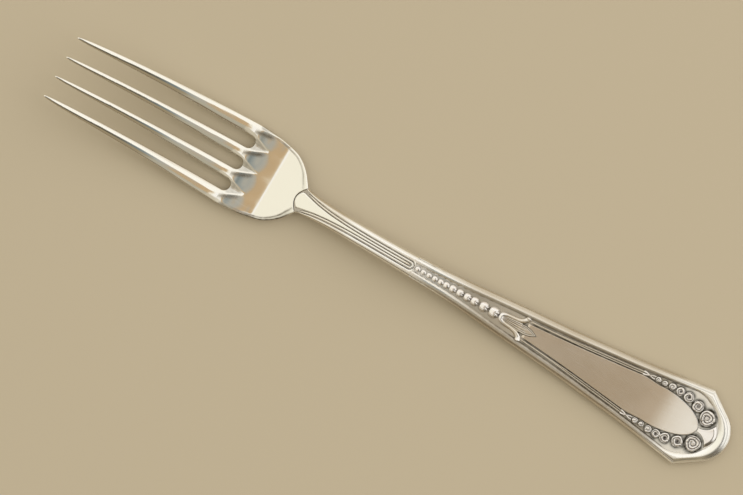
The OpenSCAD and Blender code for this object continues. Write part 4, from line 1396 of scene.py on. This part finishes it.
@dataclass
class Calyx(Member):
    """The calyx at the end of the beads: its base and flutes, two sepals and a pointed petal."""

    cup_t: float = 0.8
    sepal_tip: float = 0.93

    CUP = [[0.1, 0.5], [0.2, 0.8], [0.5, 0.95], [0.85, 1.08], [1, 1.14]]
    FLUTES = (-0.74, -0.27, 0.27, 0.74)
    SEPAL = [[0.085, 0, 0.235], [0.094, 0.06, 0.23], [0.13, 0.115, 0.21], [0.21, 0.155, 0.195],
             [0.36, 0.188, 0.185], [0.67, 0.217, 0.185], [0.88, 0.258, 0.2], [1.05, 0.35, 0.24],
             [1.135, 0.46, 0.255], [1.15, 0.555, 0.24]]
    PETAL = [[0, 1.14], [0.08, 1.18], [0.2, 1.2], [0.4, 1.11], [0.6, 0.9], [0.8, 0.54], [0.93, 0.2], [1, 0.03]]

    def cup(self, form: Form) -> None:
        """Adds the fluted heart, whose flutes fan out between the sepals.

        Args:
            form: The form that it joins.
        """
        p, s = self.profile, self.profile.s
        u = np.linspace(0.1, 1, 56)[:, None]
        v = np.linspace(-1, 1, 81)
        half = Curve(self.CUP)(u)
        flute = sum(bump(v, at * (0.6 + 0.4 * u), 0.075) for at in self.FLUTES)
        flute = flute * smooth(0.14, 0.24, u) * smooth(1.25, 0.8, u)
        x = p.x_cup + s.cup_l * u
        top = p.bed(x) + 0.44 + 0.2 * u - 0.13 * flute - 0.12 * v**4
        # Painted shade with dark patina in the flutes and at the heart's base; its foot is painted dark as shade.
        hollow_patina_and_shade = np.clip(0.75 * flute + 0.35 * smooth(0.22, 0.12, u), 0, 1)
        form.slab(x, v * half, top, p.bed(x), hollow_patina_and_shade, 0.6)

    def sepals(self, form: Form) -> None:
        """Adds the two sepals in one run round the base; their tips curl out over the border.

        Args:
            form: The form that they join.
        """
        p, s, tip = self.profile, self.profile.s, self.sepal_tip
        t = np.linspace(0, 1, len(self.SEPAL))
        fine = np.linspace(0, 1, 64)
        along, across, wide = (Curve(np.stack([t, values], 1))(fine) for values in np.array(self.SEPAL).T)
        route = np.stack([along, across], 1) * s.cup_l + [p.x_cup, 0]
        route[:, 0] -= 0.12
        near = np.sqrt(np.clip(1 - ((fine - tip) / (1 - tip)) ** 2, 0.02, 1))
        width = wide * s.cup_l * np.where(fine > tip, near, 1)
        over = p.border_over(route[:, 0], route[:, 1] + width * 0.35)
        lift = over * smooth(0.55, 0.85, fine) + 0.1 * smooth(0.5, 0.8, fine)
        high = self.cup_t * (0.9 - 0.12 * smooth(0, 0.5, fine)) * np.where(fine > tip, near**0.5, 1)
        width, high, lift = (np.concatenate([part[:0:-1], part]) for part in (width, high, lift))
        path = np.concatenate([route[:0:-1] * [1, -1], route])
        rings, hollow_patina_and_shade = sweep(path, width, high, p.bed, 0.85, 16, lift)
        rings[:, [0, -1], 2] -= lift[:, None] * 0.9
        # The sepals keep the sweep's painted shade and dark patina low on their flanks, at 0.7.
        form.tube(rings, hollow_patina_and_shade * 0.7)

    def petal(self) -> None:
        """Makes the pointed petal with its raised outline."""
        p, s = self.profile, self.profile.s
        u = np.linspace(0, 1, 60)[:, None]
        v = np.linspace(-1, 1, 61)
        x = p.x_petal - s.seam + 0.985 * s.petal_l * u
        half = Curve(self.PETAL)(u)
        edge = half * (1 - np.abs(v))
        rim, groove = bump(edge, 0.28, 0.09), bump(edge, 0.48, 0.08)
        rib = sum(bump(v, at, 0.08) for at in self.FLUTES[1:3]) * smooth(0.55, 0.05, u)
        lip = 1 - np.clip(edge / 0.1, 0, 1)
        base = p.bed(x) + s.seat + s.border_t
        top = base + 0.1 + 0.05 * rim - 0.06 * groove - 0.06 * rib - 0.08 * lip**2
        # Painted shade with dark patina: a dark outline round the petal's edge, in its groove and along its ribs;
        # its foot is painted dark as shade.
        dark = np.maximum(lip, np.clip(2.6 - edge / 0.08, 0, 1))
        hollow_patina_and_shade = np.clip(dark + 0.75 * groove + 0.7 * rib, 0, 1)
        low = np.where(x < p.x_tablet - 0.1, p.bed(x) + s.seat, base)
        self.cast("calyx_petal", PETAL, x, v * half, top, low, hollow_patina_and_shade, foot_patina_and_shade=0.6)

    def build(self) -> None:
        """Makes the calyx."""
        form = Form()
        self.cup(form)
        self.sepals(form)
        self.dress(form, "calyx", CALYX, sharp=60)
        self.petal()


@dataclass
class Tablet(Member):
    """The plain tablet, which follows the border and ends round."""

    sweep_up: float = 0.07
    margin: tuple[float, ...] = (0, 0.006, 0.016, 0.03, 0.055, 0.09)

    def build(self) -> None:
        """Makes the tablet."""
        p, s = self.profile, self.profile.s
        a = np.radians(np.linspace(0, 86.5, 60)[1:])
        xs = np.concatenate([np.linspace(p.x_tablet, p.x_wide, 110), p.x_wide + s.round_l * np.sin(a)])
        x = xs[:, None]
        margin = np.array(self.margin)
        v = np.concatenate([margin - 1, np.linspace(-0.86, 0.86, 25), 1 - margin[::-1]])
        half = p.tablet_half(x)
        lean = np.gradient(half[:, 0], xs)[:, None]
        edge = np.minimum(half * (1 - np.abs(v)) / np.sqrt(1 + lean**2), x - p.x_tablet + 0.02)
        swept = self.sweep_up * np.clip((x - p.x_wide) / s.round_l, 0, 1) ** 2.2
        top = p.bed(x) + s.border_t * (1 - 0.05 * v**2) + swept - 0.16 * rounding(edge, 0.18)
        # Painted shade: the tablet's edges darken, which damps their highlight, with dark patina in the step beside
        # them; its foot is painted dark as shade.
        hollow_patina_and_shade = np.clip(1.2 - edge / 0.15, 0, 1) * 0.75 * smooth(p.x_tablet, p.x_tablet + 1.5, x)
        self.cast("tablet", SATIN, x, v * half, top, p.bed(x), hollow_patina_and_shade, foot_patina_and_shade=0.5, sharp=50)


@dataclass
class Stems(Member):
    """The pair of threads on each side of the tablet, and the ties at their ends."""

    thread_w: float = 0.38
    thread_t: float = 0.34
    apart: float = 0.52
    first_apart: float = 0.1

    PARTING = (41.0, 57.0)

    def threads(self, side: int, node: str) -> None:
        """Makes the two threads of one stem.

        Args:
            side: 1 on the left, -1 on the right.
            node: The stem's node.
        """
        p, s = self.profile, self.profile.s
        xs = np.linspace(p.x_cup + 1.18 * s.cup_l, p.x_tie + 0.2, 90)
        apart = self.first_apart + (self.apart - self.first_apart) * smooth(*self.PARTING, xs)
        width = self.thread_w * (0.4 + 0.6 * np.clip((xs - xs[0]) / 1.2, 0, 1) ** 0.5)
        form = Form()
        for n in (-0.5, 0.5):
            y = p.tablet_half(xs) + s.lane_w / 2 + n * apart
            # The sweep paints shade and dark patina low on each thread's flanks.
            rings, hollow_patina_and_shade = sweep(np.stack([xs, y], 1), width, self.thread_t, p.bed, 0.7)
            form.tube(rings * [1, side, 1], hollow_patina_and_shade)
        self.dress(form, node, THREAD, sharp=60)

    def ties(self) -> None:
        """Makes the crossed ties."""
        p, s = self.profile, self.profile.s
        t = np.linspace(0, 1, 24)
        xs = p.x_tie + s.seam + (p.TIE_L - 0.1) * t
        width = 0.42 + 0.16 * np.abs(2 * t - 1)
        form = Form()
        for first, last, high in ((-0.3, 0.3, 0.55), (0.32, -0.28, 0.42)):
            y = p.tablet_half(xs) + p.lane(xs) / 2 + s.lane_w * (first + (last - first) * smooth(0.1, 0.9, t))
            height = high * (0.75 + 0.25 * np.sin(t * math.pi))
            # The sweep paints shade and dark patina low on each tie's flanks, at 0.8.
            rings, hollow_patina_and_shade = sweep(np.stack([xs, y], 1), width, height, p.bed, 0.8)
            form.tube(rings, hollow_patina_and_shade * 0.8)
            form.tube(rings * [1, -1, 1], hollow_patina_and_shade * 0.8)
        self.dress(form, "ribbon_ties", RELIEF, sharp=60)

    def build(self) -> None:
        """Makes the stems and their ties."""
        self.threads(1, "stem_left")
        self.threads(-1, "stem_right")
        self.ties()


@dataclass(frozen=True)
class RoseKind:
    """How one size of rose is drawn."""

    grow: float
    rays: int
    rings: int
    winds: float
    petals: int
    hollow: bool = False


@dataclass
class Roses(Member):
    """The two rows of roses, and the smooth petal between the largest two."""

    KINDS = (RoseKind(1.16, 28, 9, 1.0, 3), RoseKind(1.12, 28, 9, 1.0, 3), RoseKind(1.1, 36, 12, 1.3, 3),
             RoseKind(1.09, 44, 15, 1.6, 4, True), RoseKind(1.13, 52, 18, 2.0, 3, True),
             RoseKind(1.09, 60, 22, 2.1, 4, True), RoseKind(0.98, 96, 40, 2.8, 3))

    def rose(self, form: Form, i: int, side: int) -> None:
        """Adds one rose: petals that wind in to a bud.

        Args:
            form: The form that it joins.
            i: Its number, from the smallest.
            side: 1 on the left, -1 on the right.
        """
        p, s, kind = self.profile, self.profile.s, self.KINDS[i]
        cx, cy, d = p.roses[i]
        r = kind.grow * d / 2
        height = s.rose_t * (0.5 + r / p.roses[6][2])
        a = np.linspace(0, 2 * math.pi, kind.rays, endpoint=False)
        rho = np.concatenate([[1, 0.988, 0.965], np.linspace(0.93, 0.03, kind.rings)])[:, None]
        phase = 1.9 * i + (0.0 if side > 0 else 2.6)
        warp = rho * (1 + 0.05 * np.cos(kind.petals * a + phase + 5 * rho) * rho + 0.02 * np.cos(7 * a - 6 * rho))
        wind = kind.winds * warp - side * a / (2 * math.pi) + phase
        part = wind - np.floor(wind)
        up, down = part / 0.7 * math.pi / 2, (part - 0.7) / 0.3 * math.pi / 2
        crest = np.where(part < 0.7, np.sin(up) ** 0.7, np.cos(down))
        notch = bump(np.sin(kind.petals * a / 2 + 2.2 * np.floor(wind) + phase), 0, 0.16)
        crest = crest * (1 - 0.4 * notch * smooth(0.2, 0.4, rho))
        dome = np.sqrt(np.clip(1 - 0.72 * rho**3.2, 0, 1))
        relief = 0.42 * (1 - smooth(0.32, 0.12, rho)) * smooth(0.0, 0.16, rho)
        rim = 0.975 + 0.035 * np.cos(kind.petals * a + phase)
        x, y = cx + r * rho * rim * np.cos(a), cy + r * rho * rim * np.sin(a)
        pit, sunk, crown_patina_and_shade = np.exp(-((rho / 0.33) ** 4)), 0.4 * height * kind.hollow, 0.9 if kind.hollow else 0.2
        over = height * dome * (1 - relief * (1 - crest)) * smooth(1.005, 0.96, rho)
        over[0] = 0
        # Painted shade with dark patina in the valleys between petals and round each rose's foot; hollow roses get a
        # dark pit at the crown.
        hollow_patina_and_shade = np.clip((1 - crest) ** 1.5 * smooth(0.05, 0.2, rho) + smooth(0.975, 1.0, rho), 0, 1)
        crown = np.array([cx, cy, float(p.bed(cx)) + height * 0.98 - sunk])
        flip = np.array([1, side, 1])
        form.dome(np.stack([x, y, p.bed(x) + over - pit * sunk], 2) * flip, crown * flip,
                  np.maximum(hollow_patina_and_shade, pit * crown_patina_and_shade), crown_patina_and_shade)

    def end_petal(self) -> None:
        """Makes the smooth petal, a fan with a hollow face."""
        p, s = self.profile, self.profile.s
        u = np.linspace(0, 1, 50)[:, None]
        v = np.linspace(-1, 1, 41)
        half = p.roses[6][2] * (0.13 + 0.62 * u**2)
        x = p.x_tablet_end + s.seam + s.end_petal_l * u * (1 - 0.3 * v**2 * u)
        ends = np.minimum(s.end_petal_l * (1 - u), s.end_petal_l * u + 0.1)
        edge = np.minimum(half * (1 - np.abs(v)), ends)
        body = s.border_t * (0.75 + 0.6 * u - 0.75 * smooth(0.82, 1.0, u)) * (1 - 0.16 * (1 - v**2))
        top = p.bed(x) + np.maximum(body - 0.2 * rounding(edge, 0.3), 0.05)
        # Painted shade with dark patina round the end petal's edges; its foot is painted dark as shade.
        hollow_patina_and_shade = np.clip(1 - edge / 0.12, 0, 1) * 0.7
        self.cast("end_petal", RELIEF, x, v * half, top, p.bed(x), hollow_patina_and_shade, foot_patina_and_shade=1.0, sharp=60)

    def build(self) -> None:
        """Makes both rows and the end petal."""
        for side, node in ((1, "rose_row_left"), (-1, "rose_row_right")):
            form = Form()
            for i in range(len(self.KINDS)):
                self.rose(form, i, side)
            self.dress(form, node, RELIEF, sharp=70)
        self.end_petal()


@dataclass
class Studio:
    """The pale floor, the soft light and the camera."""

    tilt: float = 8.403
    turn: float = 120.362
    aim: tuple[float, float] = (-6.05, -1.77)
    distance: float = 1.483
    lens: float = 290.7
    floor_color: tuple[float, float, float] = (0.53, 0.46, 0.345)
    key_power: float = 11.0
    lamp_size: float = 2.2
    lamp_color: tuple[float, float, float] = (1.0, 0.97, 0.92)
    lamp_place: tuple[float, float, float] = (0.72, 1.05, 1.15)
    sensor: float = 36.0
    view_end: float = 20.0
    floor_r: float = 3.0
    floor_z: float = -0.0002

    def floor(self) -> None:
        """Lays the floor under the fork."""
        mesh = bpy.data.meshes.new("floor")
        r, z = self.floor_r, self.floor_z
        mesh.from_pydata([(-r, -r, z), (r, -r, z), (r, r, z), (-r, r, z)], [], [(0, 1, 2, 3)])
        plane = bpy.data.objects.new("floor", mesh)
        bpy.context.scene.collection.objects.link(plane)
        mat = bpy.data.materials.new("pale_floor")
        mat.use_nodes = True
        shader = mat.node_tree.nodes["Principled BSDF"]
        shader.inputs["Base Color"].default_value = (*self.floor_color, 1)
        shader.inputs["Roughness"].default_value = 0.85
        shader.inputs["Specular IOR Level"].default_value = 0.2
        mesh.materials.append(mat)

    def sky(self) -> None:
        """Sets the soft room light: white toward the tips and the left, brown, blue and dark to the right."""
        world = bpy.data.worlds.new("room")
        bpy.context.scene.world = world
        world.use_nodes = True
        tree = world.node_tree
        split = tree.nodes.new("ShaderNodeSeparateXYZ")
        tree.links.new(tree.nodes.new("ShaderNodeTexCoord").outputs["Generated"], split.inputs[0])
        x, y, z = (split.outputs[k] for k in "XYZ")
        white, bright = (0.98, 0.94, 0.80, 1), (1.03, 1.01, 0.97, 1)
        brown, grey, slate = (0.55, 0.385, 0.21, 1), (0.44, 0.43, 0.38, 1), (0.34, 0.36, 0.34, 1)
        blue, dark = (0.19, 0.23, 0.235, 1), (0.11, 0.09, 0.06, 1)
        bands = tint(tree, white, (
            (x, -0.03, 0.0, bright), (x, 0.055, 0.072, white), (x, 0.088, 0.105, brown), (x, 0.175, 0.205, grey),
            (x, 0.24, 0.29, slate), (x, 0.3, 0.38, blue), (x, 0.4, 0.5, dark)))
        side = tint(tree, (0.62, 0.56, 0.44, 1), (
            (x, 0.09, 0.15, (0.46, 0.43, 0.34, 1)), (x, 0.22, 0.32, (0.33, 0.27, 0.17, 1))))
        toward = math_node(tree, "ADD", y, range_node(tree, x, 0.4, 0.75, 0.0, 0.42))
        aside = math_node(tree, "ADD", toward, range_node(tree, x, 0.22, 0.3, 0.11, 0.0))
        color = tint(tree, bands, (
            (aside, -0.26, -0.42, side), (y, -0.78, -0.92, (0.20, 0.15, 0.09, 1)),
            (toward, 0.13, 0.25, (1.08, 1.05, 0.97, 1)), (y, 0.6, 0.84, (0.9, 0.83, 0.70, 1)),
            (z, 0.12, 0.0, (0.5, 0.43, 0.32, 1))))
        tree.links.new(color, tree.nodes["Background"].inputs["Color"])
        tree.nodes["Background"].inputs["Strength"].default_value = 1.0

    def lamp(self) -> None:
        """Hangs the soft lamp that throws the shadow toward the lower left of the frame."""
        data = bpy.data.lights.new("soft_lamp", "AREA")
        data.shape = "DISK"
        data.size = self.lamp_size
        data.energy = self.key_power
        data.color = self.lamp_color
        lamp = bpy.data.objects.new("soft_lamp", data)
        lamp.location = self.lamp_place
        lamp.visible_glossy = False
        lamp.rotation_euler = (-lamp.location).to_track_quat("-Z", "Y").to_euler()
        bpy.context.scene.collection.objects.link(lamp)

    def camera(self) -> None:
        """Sets the camera at the photograph's viewing angle."""
        tilt, turn = math.radians(self.tilt), math.radians(self.turn)
        back = Vector((math.cos(turn) * math.sin(tilt), math.sin(turn) * math.sin(tilt), math.cos(tilt)))
        level = Vector((math.cos(turn), math.sin(turn), 0))
        up = (level - back * level.dot(back)).normalized()
        right = up.cross(back)
        data = bpy.data.cameras.new("camera")
        data.sensor_fit = "HORIZONTAL"
        data.sensor_width = self.sensor
        data.lens = self.lens
        data.clip_end = self.view_end
        camera = bpy.data.objects.new("camera", data)
        place = Vector((self.aim[0] * MM, self.aim[1] * MM, 0)) + back * self.distance
        matrix = Matrix((right, up, back)).transposed().to_4x4()
        matrix.translation = place
        camera.matrix_world = matrix
        bpy.context.scene.collection.objects.link(camera)
        bpy.context.scene.camera = camera

    def build(self) -> None:
        """Sets the stage."""
        self.floor()
        self.sky()
        self.lamp()
        self.camera()
        bpy.context.scene.view_settings.view_transform = "Standard"


def main() -> None:
    """Builds the members in order, sets the stage and reports each piece."""
    logging.basicConfig(level=logging.INFO, format="%(message)s")
    profile = Profile(ForkSizes())
    for member in (Head(profile), Shank(profile), Handle(profile), BeadRow(profile), Calyx(profile),
                   Tablet(profile), Stems(profile), Roses(profile), Studio()):
        member.build()


if __name__ == "__main__":
    main()
